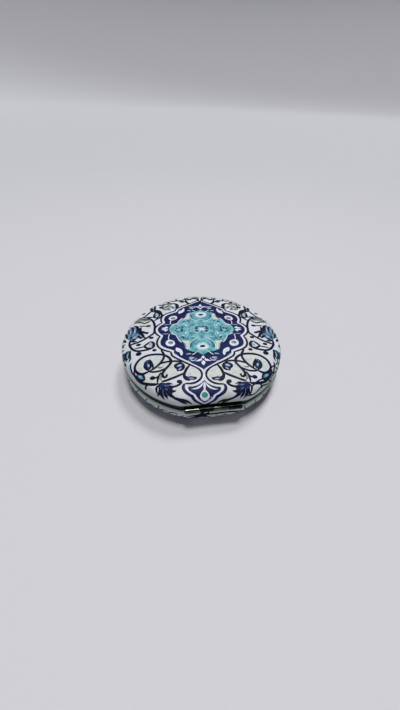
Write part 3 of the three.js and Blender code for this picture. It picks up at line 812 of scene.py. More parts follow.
MEDALLION_LEAVES = [
    # colour, width, points of a leaf's middle line
    ("teal", 1.5, [(2.4, 7.6), (3.9, 8.6), (4.6, 10.2), (4.4, 12.0), (3.4, 13.6)]),
    ("deep_teal", 1.0, [(3.6, 8.2), (4.8, 9.6), (5.2, 11.4), (4.9, 13.0)]),
    ("deep_teal", 1.2, [(0.9, 0.9), (1.8, 1.3), (2.7, 1.9)]),
    ("deep_teal", 1.1, [(8.3, 0.2), (8.7, 1.1), (8.4, 2.2)]),
    ("deep_teal", 0.9, [(14.3, 1.1), (14.6, 2.1), (14.9, 3.1)]),
    ("deep_teal", 0.6, [(4.0, 2.9), (4.8, 2.7), (5.6, 3.1)]),
    ("ink", 0.8, [(3.2, 15.1), (4.3, 15.4), (5.4, 15.2)]),
    ("white", 0.7, [(5.1, 16.0), (5.7, 16.2), (6.3, 16.0)]),
    ("teal", 1.3, [(2.9, 3.0), (4.2, 3.6), (4.6, 4.8)]),
    ("teal", 1.2, [(5.2, 0.2), (5.6, 1.4), (5.2, 2.6)]),
    ("teal", 0.9, [(7.2, 3.4), (7.8, 2.2), (7.4, 1.0)]),
    ("pale_turquoise", 1.2, [(6.4, 1.8), (7.1, 2.8), (7.0, 4.2)]),
    ("pale_turquoise", 1.1, [(7.5, 4.8), (8.4, 4.4), (9.0, 4.5)]),
    ("deep_teal", 0.8, [(5.4, 6.2), (6.4, 6.7), (7.2, 6.5)]),
    ("ink", 1.0, [(9.0, 5.2), (8.3, 5.8), (7.6, 6.6)]),
    ("ink", 0.95, [(5.6, 14.9), (4.7, 15.4), (3.7, 15.9)]),
    ("ink", 0.9, [(9.5, 9.3), (10.3, 9.0), (11.1, 9.4)]),
    ("ink", 0.7, [(8.1, 9.6), (8.6, 9.0), (9.3, 9.0)]),
    ("ink", 0.9, [(1.9, 16.4), (3.2, 17.0), (4.6, 17.7)]),
    ("ink", 0.9, [(1.2, 18.2), (2.0, 19.3), (3.5, 19.8)]),
    ("ink", 0.8, [(14.4, 2.0), (15.0, 2.7), (16.0, 2.7)]),
    ("pale_blue", 1.5, [(3.6, 18.5), (4.7, 18.7), (6.0, 18.3)]),
    ("sage", 0.9, [(4.6, 19.8), (5.5, 19.4), (6.1, 18.9)]),
    ("white", 0.8, [(3.9, 18.2), (4.6, 18.6), (5.3, 18.5)]),
    ("pale_blue", 0.9, [(5.5, 16.1), (6.3, 16.2), (7.1, 16.5)]),
    ("pale_blue", 0.8, [(11.9, 15.8), (11.3, 16.6), (10.3, 17.4)]),
    ("pale_blue", 0.5, [(6.6, 20.0), (6.0, 20.5), (5.2, 21.0)]),
    ("white", 1.3, [(14.9, 0.6), (15.8, 1.1), (16.2, 2.0)]),
    ("white", 1.3, [(15.2, 0.6), (16.6, 0.6), (17.9, 0.5)]),
    ("white", 1.5, [(0.4, 19.9), (1.5, 20.0), (2.8, 20.5)]),
]
LOBE_LEAVES = [
    ("teal", 1.6, [(0.0, 5.2), (0.0, 6.4), (0.0, 7.6)]),
    ("white", 1.4, [(0.0, 17.6), (0.0, 18.5), (0.0, 19.4)]),
    ("white", 2.0, [(0.0, 20.3), (0.0, 21.6), (0.0, 22.9)]),
]
LOBE_DOTS = [
    # colour, middle, half width, length over width
    ("pale_turquoise", (0.0, 12.1), 2.9, 0.86),
    ("white", (0.0, 12.1), 2.2, 0.72),
    ("ink", (0.0, 12.1), 1.3, 0.6),
    ("ink", (0.0, 19.7), 0.42, 1.1),
]
# The small flowers in the turquoise, as (across, away from the hinge)
FLOWER_LEAVES = [
    ("white", 0.9, [(0.3, -0.7), (1.1, -1.2), (1.9, -0.9)]),
    ("white", 0.8, [(0.2, -0.3), (0.8, 0.4), (1.6, 0.8)]),
]
FLOWER_DOTS = [
    ("pale_blue", (10.15, -1.05), 0.62, 1.0),
    ("white", (10.15, -1.05), 0.34, 1.0),
    ("ink", (8.9, -0.5), 0.5, 0.8),
    ("ink", (9.1, -1.9), 0.5, 0.8),
    ("ink", (10.6, -2.4), 0.5, 0.8),
    ("ink", (11.6, -1.5), 0.5, 0.8),
    ("ink", (11.1, 0.0), 0.5, 0.8),
    ("ink", (9.9, 0.4), 0.5, 0.8),
    ("ink", (2.15, -1.75), 0.72, 0.8),
    ("ink", (2.35, 0.1), 0.72, 0.8),
    ("ink", (0.8, 1.05), 0.55, 0.8),
]
MIDDLE_DOTS = [
    ("ink", (0.0, -2.5), 0.5, 0.9),
    ("white", (0.0, -0.5), 0.95, 1.0),
    ("pale_blue", (0.0, -0.5), 0.3, 1.0),
]


def paint_medallion(layers):
    """The lobed medallion: outline, white band, navy ground, turquoise middle, blooms and flowers."""
    layers["navy"].fill(all_round(joined(WHITE_BAND), QUARTERS), (0, 0), plain=True)
    edge = smooth_line(TURQUOISE_EDGE, LINE_STEP)
    layers["turquoise"].fill(all_round(edge, MIDDLE_QUARTERS), (0, 0), plain=True)
    for patch in patches(layers, QUARTERS):
        patch.lines([("ink", 1.0, part) for part in OUTLINE], ends=(0.6, 0.6))
        patch.lines([("white", 0.72, part) for part in WHITE_BAND], ends=(0.7, 0.7))
        patch.plate("white", WHITE_LEAF, (9.9, 13.9))
        patch.dots([("ink", (10.6, 15.5), 0.55, 0.9)])
    for patch in patches(layers, MIDDLE_QUARTERS):
        patch.lines(MEDALLION_MARKS)
        patch.leaves(MEDALLION_LEAVES)
        patch.plate("white", BLOOM)
        patch.plate("cream", CREAM_WEDGE, (6.9, 8.9))
        patch.dots([("sage", (13.7, 9.1), 1.25, 0.8)])
    for patch in patches(layers, [(near, 1), (far_middle, 1)]):
        patch.leaves(LOBE_LEAVES)
        patch.dots(LOBE_DOTS)
    for patch in patches(layers, [(as_drawn, -1), (as_drawn, 1)]):
        patch.leaves(FLOWER_LEAVES)
        patch.dots(FLOWER_DOTS)
    Patch(layers, as_drawn, 1).dots(MIDDLE_DOTS)


VINE_WEIGHT = 2.15
VINES = [
    # width, points of a line
    (0.55, [(17.8, 13.2), (16.9, 14.8), (16.35, 16.5), (16.6, 18.3), (17.4, 20.0), (18.7, 21.8), (20.4, 23.2),
            (22.4, 24.4)]),
    (0.62, [(22.3, 24.4), (23.6, 24.9), (25.1, 25.3), (26.7, 24.8), (28.1, 23.5), (28.7, 21.7),
            (28.1, 19.8), (26.8, 18.0), (25.0, 16.7), (23.0, 15.95), (21.0, 15.7), (19.0, 15.75),
            (17.0, 16.1), (15.2, 17.0), (13.9, 18.4), (13.4, 20.1), (13.9, 21.7), (15.2, 23.4),
            (16.3, 24.9), (16.9, 26.4), (16.6, 27.6), (15.7, 28.0), (15.0, 27.5), (15.3, 26.9)]),
    (0.5, [(22.6, 24.6), (20.6, 24.9), (18.5, 24.8), (16.9, 24.2), (15.6, 23.4)]),
    (0.55, [(18.4, 21.3), (16.8, 20.6), (14.8, 20.1), (12.4, 19.95), (10.4, 20.2), (8.9, 20.9)]),
    (0.62, [(5.6, 22.2), (6.9, 24.1), (7.65, 25.8), (8.05, 27.2), (7.9, 28.6), (7.1, 29.7), (5.7, 30.2)]),
    (0.55, [(7.8, 26.2), (9.3, 27.1), (11.3, 28.1), (13.4, 28.9), (15.5, 29.6), (17.6, 30.0)]),
    (0.62, [(28.9, 22.6), (29.2, 24.2), (28.5, 26.2), (27.0, 28.2), (25.0, 29.5), (22.6, 30.3), (20.0, 30.8),
            (18.3, 30.6)]),
    (0.5, [(17.5, 25.4), (18.3, 27.2), (18.8, 28.9), (18.9, 30.5)]),
    (0.5, [(20.6, 27.9), (19.4, 27.8), (18.5, 27.0)]),
    (0.5, [(13.2, 32.6), (11.6, 32.5), (10.2, 31.9), (9.3, 31.0), (9.5, 30.1), (10.3, 29.9)]),
    (0.6, [(13.4, 36.6), (12.0, 37.5), (10.3, 38.3), (8.3, 38.6), (6.8, 39.3), (5.5, 40.5)]),
    (0.5, [(25.0, 31.6), (24.2, 30.9), (23.0, 30.6)]),
]
BUD_LINES = [
    (0.5, [(10.8, 25.5), (10.75, 24.2), (11.6, 23.2), (11.7, 22.2), (10.8, 21.5), (9.4, 21.3), (8.4, 22.0),
           (8.1, 23.3), (8.7, 24.5), (9.8, 25.3)]),
    (0.45, [(23.2, 18.5), (24.3, 20.2), (24.4, 22.0), (23.5, 23.3), (22.4, 24.3)]),
    (0.45, [(23.2, 18.5), (22.4, 19.8), (21.7, 21.4), (21.9, 22.7), (22.4, 23.6)]),
    (0.45, [(22.4, 18.2), (21.6, 19.8), (21.0, 21.4), (20.8, 23.4)]),
    (0.5, [(27.9, 25.0), (26.2, 24.9), (24.8, 26.2), (24.5, 28.0), (26.0, 27.9), (27.5, 26.7), (27.9, 25.1)]),
]
SCROLL_PLATES = [
    # colour, outline: the ground inside the loops, then the buds
    ("mist", [(4.4, 23.4), (6.1, 25.3), (6.7, 27.3), (5.7, 28.3), (3.4, 28.9), (1.7, 28.2), (1.5, 26.6),
              (2.5, 24.9)]),
    ("mist", [(12.8, 21.2), (12.0, 23.6), (11.2, 25.9), (9.8, 26.7), (12.0, 27.8), (14.4, 28.4), (15.6, 26.6),
              (15.6, 25.0), (14.6, 23.5), (13.5, 22.0)]),
    ("mist", [(17.5, 16.9), (20.0, 16.5), (23.0, 16.9), (21.8, 18.2), (20.6, 20.4), (20.0, 22.2),
              (18.6, 20.8), (17.4, 18.8)]),
    ("mist", [(26.0, 18.3), (27.6, 20.4), (27.6, 22.4), (26.2, 24.0), (25.0, 24.2), (24.9, 21.5),
              (24.2, 18.8), (24.8, 17.6)]),
    ("navy", [(10.8, 25.3), (10.9, 24.2), (11.8, 23.3), (11.5, 22.0), (10.3, 21.2), (8.9, 21.5), (8.2, 22.9),
              (8.6, 24.4), (9.8, 25.3)]),
    ("navy", [(23.2, 18.6), (24.2, 20.2), (24.4, 21.8), (23.6, 23.2), (22.5, 23.9), (21.7, 22.8),
              (21.7, 21.3), (22.4, 19.9)]),
    ("teal", [(28.0, 24.9), (26.2, 25.2), (25.0, 26.4), (24.8, 27.8), (26.2, 27.9), (27.8, 26.6)]),
    ("navy", [(7.6, 27.6), (7.4, 29.0), (5.9, 29.9), (4.2, 30.0), (2.8, 29.3), (4.2, 29.2), (5.4, 28.5),
              (6.6, 28.5)]),
]
SCROLL_LEAVES = [
    ("pale_blue", 1.3, [(8.9, 22.3), (10.1, 22.5), (11.0, 23.1)]),
    ("pale_blue", 0.8, [(9.0, 23.5), (9.7, 24.2), (10.4, 24.9)]),
    ("teal", 1.2, [(22.4, 18.4), (23.3, 19.3), (24.4, 19.2)]),
    ("pale_blue", 1.1, [(23.0, 20.6), (22.7, 21.6), (22.8, 22.7)]),
    ("pale_blue", 0.9, [(27.2, 25.7), (26.2, 26.4), (25.6, 27.3)]),
    ("pale_blue", 0.75, [(4.2, 29.5), (5.2, 29.3), (6.3, 29.2)]),
    ("sage", 1.1, [(17.6, 26.2), (17.7, 28.2), (17.0, 29.8)]),
    ("sage", 0.9, [(19.5, 22.2), (18.0, 23.1), (16.4, 22.6)]),
]
SCROLL_DOTS = [
    ("ink", (22.9, 22.4), 0.45, 1.0),
    ("ink", (20.9, 27.8), 1.15, 0.75),
    ("ink", (10.3, 30.4), 0.8, 1.0),
    ("ink", (24.6, 31.6), 0.6, 1.0),
    ("ink", (15.1, 27.1), 0.55, 1.0),
]
BUD_TIP = [(6.8, 28.3), (5.6, 28.3), (4.2, 28.9), (2.8, 28.9)]


def paint_scrolls(layers):
    """The hinge half: vines, spirals, teardrop loops and buds."""
    for patch in patches(layers, HINGE_SIDE):
        patch.lines(inked(VINES + BUD_LINES), VINE_WEIGHT)
        for paint_name, outline in SCROLL_PLATES:
            patch.plate(paint_name, outline)
        patch.leaves(SCROLL_LEAVES)
        patch.dots(SCROLL_DOTS)
        layers["ink"].leaf(patch.at(BUD_TIP), 0.9, fullest=0.7)


FAR_LINE_WEIGHT = 2.25
FAR_LEAF_WEIGHT = 1.45
FAR_LINES = [
    (0.95, [(12.7, 16.6), (12.9, 18.6), (12.9, 20.2), (13.6, 21.7), (15.5, 22.9)]),
    (0.75, [(20.1, 12.6), (20.9, 14.2), (22.4, 16.0), (24.2, 16.9), (25.8, 17.8)]),
    (0.65, [(22.2, 12.3), (22.9, 14.4), (24.2, 16.4), (25.2, 18.2), (25.5, 20.2), (26.4, 22.6),
            (27.2, 24.6)]),
    (0.8, [(26.0, 15.6), (26.6, 17.8), (27.6, 20.0), (28.6, 22.4), (29.6, 25.0)]),
    (0.7, [(6.6, 21.6), (7.6, 23.2), (8.2, 24.8), (8.4, 26.4)]),
    (0.7, [(0.0, 24.2), (0.9, 25.4), (1.7, 26.9), (3.4, 28.1), (5.2, 27.7), (6.2, 26.4), (7.4, 27.6),
           (7.8, 29.4)]),
    (0.6, [(14.0, 25.8), (14.4, 27.6), (14.9, 29.4)]),
    (0.6, [(15.5, 22.9), (18.0, 23.5), (20.2, 22.9), (22.4, 22.3), (24.2, 22.7)]),
    (0.6, [(9.8, 26.4), (12.0, 26.0), (14.2, 25.8), (16.6, 26.2), (18.4, 27.6)]),
    (0.6, [(20.4, 25.6), (21.0, 27.4), (20.4, 29.6)]),
]
FAR_LEAVES = [
    # colour, width, points of a leaf's middle line
    ("sage", 1.4, [(14.3, 17.0), (15.1, 18.5), (16.5, 19.3)]),
    ("sage", 1.3, [(16.0, 15.7), (17.3, 17.2), (17.5, 19.0)]),
    ("sage", 1.3, [(17.2, 16.8), (19.0, 16.8), (20.8, 17.2)]),
    ("sage", 1.4, [(15.6, 22.0), (17.6, 21.8), (19.8, 22.6)]),
    ("sage", 1.2, [(19.8, 21.4), (21.2, 23.2), (21.6, 25.2)]),
    ("ink", 0.6, [(14.5, 17.3), (15.4, 18.6), (16.4, 19.2)]),
    ("ink", 0.6, [(17.6, 16.7), (19.0, 16.9), (20.2, 17.1)]),
    ("ink", 0.6, [(16.4, 16.1), (17.2, 17.3), (17.4, 18.6)]),
    ("ink", 2.0, [(20.5, 19.0), (21.8, 19.5), (23.1, 19.8)]),
    ("deep_teal", 1.9, [(8.6, 24.1), (10.3, 24.5), (12.3, 24.9)]),
    ("ink", 1.2, [(9.4, 24.2), (10.6, 24.6), (11.8, 24.8)]),
    ("white", 1.6, [(12.9, 24.5), (14.2, 24.3), (15.6, 23.9)]),
    ("white", 1.7, [(4.0, 24.8), (5.4, 24.2), (6.2, 23.0)]),
    ("white", 2.0, [(2.5, 26.9), (3.2, 25.6), (4.6, 24.8)]),
    ("ink", 1.4, [(1.0, 22.2), (2.3, 22.1), (3.5, 21.5)]),
    ("ink", 1.2, [(5.8, 21.6), (6.6, 22.2), (7.0, 23.2)]),
    ("ink", 1.6, [(8.2, 26.4), (8.9, 27.8), (9.4, 29.4)]),
    ("ink", 1.4, [(2.0, 28.4), (3.6, 28.9), (5.0, 28.4)]),
    ("ink", 1.3, [(17.6, 24.1), (18.7, 25.0), (19.3, 26.3)]),
    ("ink", 1.3, [(21.8, 21.9), (22.9, 22.5), (23.5, 23.4)]),
    ("ink", 1.2, [(25.4, 29.6), (26.4, 28.6), (27.3, 27.4)]),
    ("teal", 1.4, [(28.0, 26.8), (28.6, 28.4), (28.2, 30.2)]),
]


def paint_far_leaves(layers):
    """The half away from the hinge: a stem from each lobe, leaves, buds and scallops at the edge."""
    for patch in patches(layers, [(far, -1), (far, 1)]):
        patch.lines(inked(FAR_LINES), FAR_LINE_WEIGHT)
        patch.leaves(FAR_LEAVES, FAR_LEAF_WEIGHT)


LOTUS_GROUND = [(18.3, 30.6), (18.6, 33.2), (17.6, 35.5), (15.4, 36.4), (13.3, 36.2), (12.8, 34.4),
                (12.9, 32.4), (14.6, 31.1), (16.6, 30.4)]
LOTUS_PETALS = [
    # width, points of a petal's middle line
    (1.1, [(18.2, 31.0), (19.5, 32.6), (19.3, 35.4)]),
    (1.4, [(18.0, 32.4), (18.4, 34.6), (20.0, 36.0)]),
    (1.6, [(17.2, 32.6), (17.6, 35.4), (16.8, 38.0)]),
    (1.6, [(16.4, 33.0), (15.8, 35.8), (15.2, 37.6)]),
    (1.6, [(15.4, 33.6), (13.8, 36.0), (11.6, 37.6)]),
    (1.5, [(15.0, 33.2), (12.8, 34.6), (11.2, 34.3)]),
    (1.2, [(14.8, 32.2), (13.0, 32.7), (10.8, 32.3)]),
    (0.9, [(16.0, 31.0), (14.2, 31.0), (12.4, 31.6)]),
    (1.6, [(12.0, 37.2), (9.5, 39.0), (7.2, 40.6)]),
]
LOTUS_STREAKS = [
    ("steel_blue", 0.75, [(16.4, 31.6), (15.0, 32.0), (13.6, 31.9)]),
    ("steel_blue", 0.75, [(15.9, 33.2), (14.2, 33.9), (12.9, 33.9)]),
    ("steel_blue", 0.825, [(16.7, 33.2), (16.6, 35.2), (16.0, 36.8)]),
    ("steel_blue", 0.75, [(17.7, 32.4), (17.9, 34.0), (18.9, 35.2)]),
    ("steel_blue", 0.825, [(15.8, 34.6), (14.8, 35.8), (13.4, 36.8)]),
]


def paint_lotus(patch):
    """A navy flower with a fan of dark petals, light streaks between them and a tail along the edge."""
    patch.plate("navy", LOTUS_GROUND)
    patch.leaves(inked(LOTUS_PETALS))
    patch.leaves(LOTUS_STREAKS)
    patch.dots([("white", (17.4, 29.9), 0.4, 1.0)])


PENDANT_BODY = [(0.0, 29.9), (1.2, 31.2), (2.8, 32.2), (4.8, 32.8), (6.4, 32.8), (6.7, 33.6), (6.3, 34.5),
                (5.2, 35.3), (3.9, 36.0), (3.3, 37.0), (2.5, 38.0), (1.3, 39.0), (0.0, 39.9)]
PENDANT_BAND = [(7.9, 31.6), (8.5, 32.7), (8.4, 34.0), (7.6, 35.2), (6.3, 36.1), (5.1, 36.8), (4.6, 37.8),
                (3.7, 38.8), (2.4, 39.8), (1.1, 40.7), (0.1, 41.5)]
PENDANT_WHITE = [(0.15, 25.8), (0.2, 27.6), (0.6, 29.2), (1.7, 30.7), (3.2, 31.7), (5.0, 32.2), (6.8, 32.2),
                 (7.2, 33.2), (6.8, 34.5), (5.7, 35.5), (4.3, 36.3), (3.8, 37.3), (3.1, 38.3), (1.8, 39.3),
                 (0.1, 40.5)]
DROP = [(0.0, 33.6), (0.7, 34.4), (1.6, 35.6), (2.0, 36.9), (1.2, 38.3), (0.0, 38.9)]
PENDANT_LEAF = [(0.4, 30.9), (1.2, 32.2), (2.6, 33.3), (4.2, 33.8), (5.4, 33.8)]
PENDANT_STEM = [(0.0, 30.6), (0.0, 32.6), (0.0, 34.8)]
PENDANT_DOTS = [
    ("pale_turquoise", (0.0, 36.5), 1.55, 1.05),
    ("green", (0.0, 36.2), 1.3, 0.85),
]
PENDANT_TOP = 29.0
SHORT_PENDANT = 0.55


def near_short(points, side):
    """On the base the pendant ends above the wall: from the crossing of the loops it is shorter."""
    p = np.array(points, float)
    p[:, 1] = PENDANT_TOP + SHORT_PENDANT * (p[:, 1] - PENDANT_TOP)
    return near(p, side)


def paint_pendant(layers, place):
    """The navy palmette that hangs from the crossing of the loops: its body, a white and a dark band that
    come to a point, two white leaves and a drop on a pale stem."""
    middle = Patch(layers, place, 1)
    layers["navy"].fill(both_sides(PENDANT_BODY, place), middle.at([(0.0, 34.6)])[0], plain=True)
    outer_line = [(across + 0.5, down + 0.15) for across, down in PENDANT_BAND]
    for patch in patches(layers, [(place, -1), (place, 1)]):
        patch.lines([("navy", 1.4, PENDANT_BAND)], ends=(0.5, 0.8))
        patch.lines([("ink", 0.4, outer_line), ("white", 0.62, PENDANT_WHITE)])
        patch.leaves([("white", 0.95, PENDANT_LEAF)])
    middle.leaves([("white", 1.2, PENDANT_STEM)])
    layers["white"].fill(both_sides(DROP, place), middle.at([(0.0, 36.6)])[0])
    middle.dots(PENDANT_DOTS)


SIDE_PETAL_WEIGHT = 1.25
SIDE_DOT_WEIGHT = 1.3
SIDE_LINES = [
    (0.6, [(24.6, -8.6), (22.9, -7.4), (21.6, -5.3), (21.0, -2.8), (20.9, 0.0), (21.1, 2.4), (22.5, 3.9),
           (24.1, 5.3), (26.0, 6.6), (28.1, 7.6), (30.4, 8.2), (32.4, 8.7)]),
    (0.5, [(24.4, 5.6), (25.5, 4.6), (26.3, 3.5), (27.0, 2.3)]),
    (0.6, [(21.3, 11.9), (23.4, 12.6), (25.5, 12.9), (27.6, 12.9), (29.4, 12.0), (30.8, 10.4), (31.7, 8.5),
           (31.8, 6.5), (31.4, 5.0)]),
    (0.55, [(22.5, 7.8), (21.2, 8.6), (20.7, 10.0), (21.1, 11.4), (22.5, 12.0), (24.0, 11.5), (24.9, 10.4),
            (23.8, 9.2), (22.5, 7.8)]),
    (0.4, [(24.7, 10.7), (27.0, 11.0), (29.2, 11.1)]),
    (0.45, [(27.0, 12.9), (27.2, 13.9)]),
    (0.6, [(23.2, -15.6), (23.0, -14.2), (21.3, -13.0), (19.5, -12.3), (18.2, -10.9), (17.9, -9.6),
           (18.7, -8.3), (20.2, -7.3), (21.4, -6.0)]),
    (0.5, [(20.9, -12.6), (19.3, -11.4), (19.2, -9.5), (20.4, -8.3), (21.6, -9.0), (21.5, -10.9),
           (20.9, -12.6)]),
    (0.6, [(23.1, -14.4), (24.0, -12.8), (25.3, -11.1), (26.5, -9.7)]),
    (0.45, [(21.9, -8.6), (24.4, -9.0), (26.7, -9.6), (29.6, -9.4)]),
    (0.5, [(22.9, -6.3), (25.4, -5.0), (27.2, -5.8), (29.4, -6.5), (31.2, -6.2)]),
    (0.45, [(22.8, -7.2), (25.8, -8.3), (28.6, -8.4), (31.0, -7.6)]),
    (0.4, [(24.6, -2.8), (26.4, -3.0), (28.2, -3.5)]),
    (0.5, [(31.2, -16.5), (31.8, -14.4), (32.2, -12.2), (31.8, -10.2)]),
    (0.5, [(29.4, -16.4), (30.2, -14.6), (30.2, -12.8)]),
    (0.5, [(17.4, -14.6), (18.0, -16.4), (17.0, -18.6), (14.4, -19.6)]),
    (0.5, [(12.9, -19.4), (11.4, -18.2), (10.8, -16.8), (11.1, -15.2)]),
    (0.5, [(31.4, 12.7), (31.5, 14.4), (30.9, 16.2), (31.6, 18.0)]),
    (0.45, [(33.2, 12.6), (33.4, 14.6), (32.8, 16.4)]),
    (0.45, [(30.4, 18.6), (30.8, 20.4), (30.4, 22.6), (29.9, 24.6)]),
]
SIDE_PETALS = [
    # width, points of a petal's middle line
    (1.4, [(23.6, 2.4), (26.0, 1.3), (28.0, 0.3), (29.2, -1.2)]),
    (1.4, [(25.2, 4.4), (26.4, 2.8), (27.8, 1.6), (29.3, 1.2)]),
    (1.2, [(26.5, 5.3), (28.0, 3.8), (29.6, 3.0)]),
    (1.5, [(29.2, 1.4), (28.6, -1.0), (29.2, -3.2), (30.7, -4.6)]),
    (1.3, [(30.8, 1.6), (30.6, -0.7), (31.2, -2.8), (32.6, -4.3)]),
    (1.3, [(31.8, 2.4), (32.4, 0.2), (33.6, -2.8)]),
    (1.3, [(28.8, 5.6), (30.4, 5.2), (31.9, 3.0)]),
    (1.1, [(28.4, 6.8), (30.2, 6.6), (32.0, 5.8)]),
    (1.3, [(33.0, 4.2), (33.8, 1.8), (35.0, -1.0)]),
    (1.2, [(33.4, 6.2), (34.8, 4.4), (36.4, 2.6)]),
    (1.2, [(27.0, 0.6), (27.4, -1.2), (27.0, -2.6)]),
    (1.0, [(34.6, 8.6), (36.0, 7.2), (37.6, 6.6)]),
    (1.1, [(33.6, -5.2), (35.2, -7.2), (37.2, -8.2)]),
    (1.1, [(34.2, -9.4), (35.6, -11.0), (37.4, -11.6)]),
    (1.1, [(34.6, 12.0), (36.2, 12.6), (37.6, 14.2)]),
    (1.1, [(33.2, 19.2), (34.4, 17.8), (36.0, 17.2)]),
    (0.9, [(20.5, -10.8), (20.9, -9.7), (21.4, -8.8)]),
    (1.3, [(31.0, 11.6), (31.4, 14.0), (30.6, 16.8)]),
    (1.2, [(32.6, 12.0), (33.2, 14.2), (32.8, 17.4)]),
    (1.2, [(34.2, 12.2), (34.8, 14.4), (34.6, 17.2)]),
    (0.7, [(17.8, -15.4), (15.6, -16.9), (13.0, -16.4)]),
]
SIDE_LEAVES = [
    # colour, width, points of a leaf's middle line
    ("pale_blue", 1.1, [(31.4, 5.4), (29.8, 4.2), (28.0, 2.6)]),
    ("pale_blue", 1.0, [(30.9, 2.6), (30.0, 0.4), (30.1, -2.4)]),
    ("pale_blue", 0.8, [(32.6, 3.4), (32.0, 0.8), (32.4, -2.2)]),
    ("pale_turquoise", 0.8, [(30.8, 4.8), (29.8, 3.9), (29.0, 3.4)]),
    ("teal", 1.4, [(34.4, -4.6), (36.0, -6.2), (37.8, -6.8)]),
    ("sage", 1.9, [(23.2, -6.6), (26.6, -7.3), (30.4, -7.3)]),
    ("cream", 1.0, [(25.0, -7.0), (27.2, -7.5), (29.8, -7.4)]),
    ("teal", 1.2, [(22.0, -9.0), (24.4, -9.4), (26.8, -9.2)]),
    ("pale_blue", 1.4, [(20.6, -12.0), (20.2, -10.4), (20.8, -8.9)]),
    ("pale_blue", 1.9, [(22.2, 8.5), (22.3, 9.9), (22.8, 11.3)]),
    ("navy", 0.9, [(21.7, 8.5), (21.3, 9.8), (21.7, 11.1)]),
    ("pale_blue", 0.9, [(31.8, 12.8), (32.4, 14.4), (32.2, 16.0)]),
    ("pale_blue", 1.1, [(31.2, 18.8), (31.6, 20.8), (30.9, 23.2)]),
    ("sage", 1.3, [(17.6, -14.6), (16.0, -15.9), (13.6, -15.6)]),
    ("sage", 1.2, [(18.4, -18.3), (16.0, -19.0), (13.4, -18.6)]),
]
PALMETTE_GROUND = [(27.0, 3.4), (28.0, 1.0), (28.6, -1.6), (29.8, -3.6), (31.6, -4.0), (33.2, -2.2),
                   (33.8, 0.6), (33.4, 3.4), (32.0, 5.4), (29.8, 5.6), (28.0, 5.0)]
LOW_PALMETTE_GROUND = [(31.0, 12.4), (32.6, 11.8), (34.4, 13.0), (34.4, 15.2), (33.0, 16.8), (31.4, 15.8)]
SIDE_DOTS = [
    # middle, half width, length over width
    ((23.9, -2.7), 0.95, 0.6), ((22.1, 5.5), 0.8, 0.75), ((24.3, 2.1), 0.7, 0.8), ((26.8, 4.9), 0.6, 0.9),
    ((27.6, 9.2), 0.85, 0.7), ((20.5, 13.2), 0.75, 0.8), ((27.2, 14.6), 1.0, 0.85), ((21.3, -8.8), 0.6, 0.9),
    ((26.5, -9.7), 0.6, 0.9), ((26.8, -13.0), 0.8, 0.8), ((18.3, -16.4), 0.7, 0.8), ((21.7, 8.3), 0.5, 0.9),
]


def paint_sides(layers):
    """What lies left and right of the medallion: feathered palmettes, buds, leaves and dots."""
    for patch in patches(layers, HINGE_SIDE):
        patch.lines(inked(SIDE_LINES), VINE_WEIGHT)
        patch.leaves(inked(SIDE_PETALS), SIDE_PETAL_WEIGHT)
        patch.leaves(SIDE_LEAVES)
        patch.dots(inked(SIDE_DOTS), SIDE_DOT_WEIGHT)
        patch.dots([("white", (22.9, 10.4), 0.55, 0.8)])
        patch.plate("steel_blue", PALMETTE_GROUND)
        patch.plate("deep_teal", LOW_PALMETTE_GROUND)


def at_wall(places, spot):
    """Ornament points of places on a cover's wall: each is an angle from the hinge in degrees, counted
    towards +X of the row frame, and the distance from the cover's edge. spot is the half, and how far all
    places are moved round. It undoes the turn, the move and the growth of on_ornament."""
    half, moved = spot
    angle, down = np.array(places, float).T
    angle = np.radians(angle + moved) * HALF_TURN[half][0]
    radius = profile_at(CROWN_LENGTH - down)[0]
    along = CROWN_LENGTH - down - radius + drawn_in(radius, angle, GROWTH_BLEND)
    x = along * np.sin(angle) - ORNAMENT_MIDDLE[0]
    y = -along * np.cos(angle) - ORNAMENT_MIDDLE[1]
    across = x * np.cos(ORNAMENT_TURN) - y * np.sin(ORNAMENT_TURN)
    away = x * np.sin(ORNAMENT_TURN) + y * np.cos(ORNAMENT_TURN)
    return np.stack([across, away], axis=1)


WALL_TURNS = (124, 235)
HINGE_WALL_WEIGHT = 0.8
WALL_LINES = [
    (0.8, [(-104.0, 3.6), (-97.0, 2.4), (-90.0, 3.8), (-83.0, 2.2), (-76.0, 3.8), (-69.0, 2.4), (-62.0, 3.6),
            (-54.0, 2.2), (-47.0, 3.6), (-40.0, 2.4)]),
    (0.7, [(-98.0, 5.8), (-90.0, 6.4), (-82.0, 5.0), (-74.0, 6.2), (-66.0, 4.8), (-58.0, 6.2)]),
    (0.8, [(-54.5, 0.3), (-57.0, 2.6), (-60.0, 5.4)]),
    (0.8, [(-66.0, 0.4), (-68.4, 2.8), (-72.0, 5.2)]),
    (0.8, [(-78.0, 0.4), (-81.0, 2.4), (-84.0, 5.2)]),
    (0.8, [(-45.5, 0.6), (-47.5, 3.0), (-49.8, 5.6)]),
    (0.8, [(-35.5, 0.6), (-37.2, 3.2), (-39.4, 6.0)]),
    (0.7, [(-16.6, 3.8), (-12.6, 2.9), (-8.2, 3.9), (-4.6, 3.0), (-1.2, 3.8)]),
    (0.7, [(1.4, 3.0), (4.6, 3.8), (7.6, 2.9), (10.6, 3.9), (14.6, 3.1)]),
    (0.8, [(20.6, 0.6), (21.8, 2.8), (23.4, 5.4)]),
    (0.8, [(29.6, 0.6), (30.6, 2.8), (31.8, 5.4)]),
    (0.7, [(32.6, 2.6), (34.4, 4.2), (36.4, 6.2)]),
    (0.8, [(37.0, 0.4), (38.8, 2.6), (41.4, 5.4)]),
    (0.8, [(41.8, 0.6), (43.8, 3.2), (46.4, 6.0)]),
    (0.7, [(46.4, 1.6), (48.2, 3.4), (50.4, 5.2)]),
]
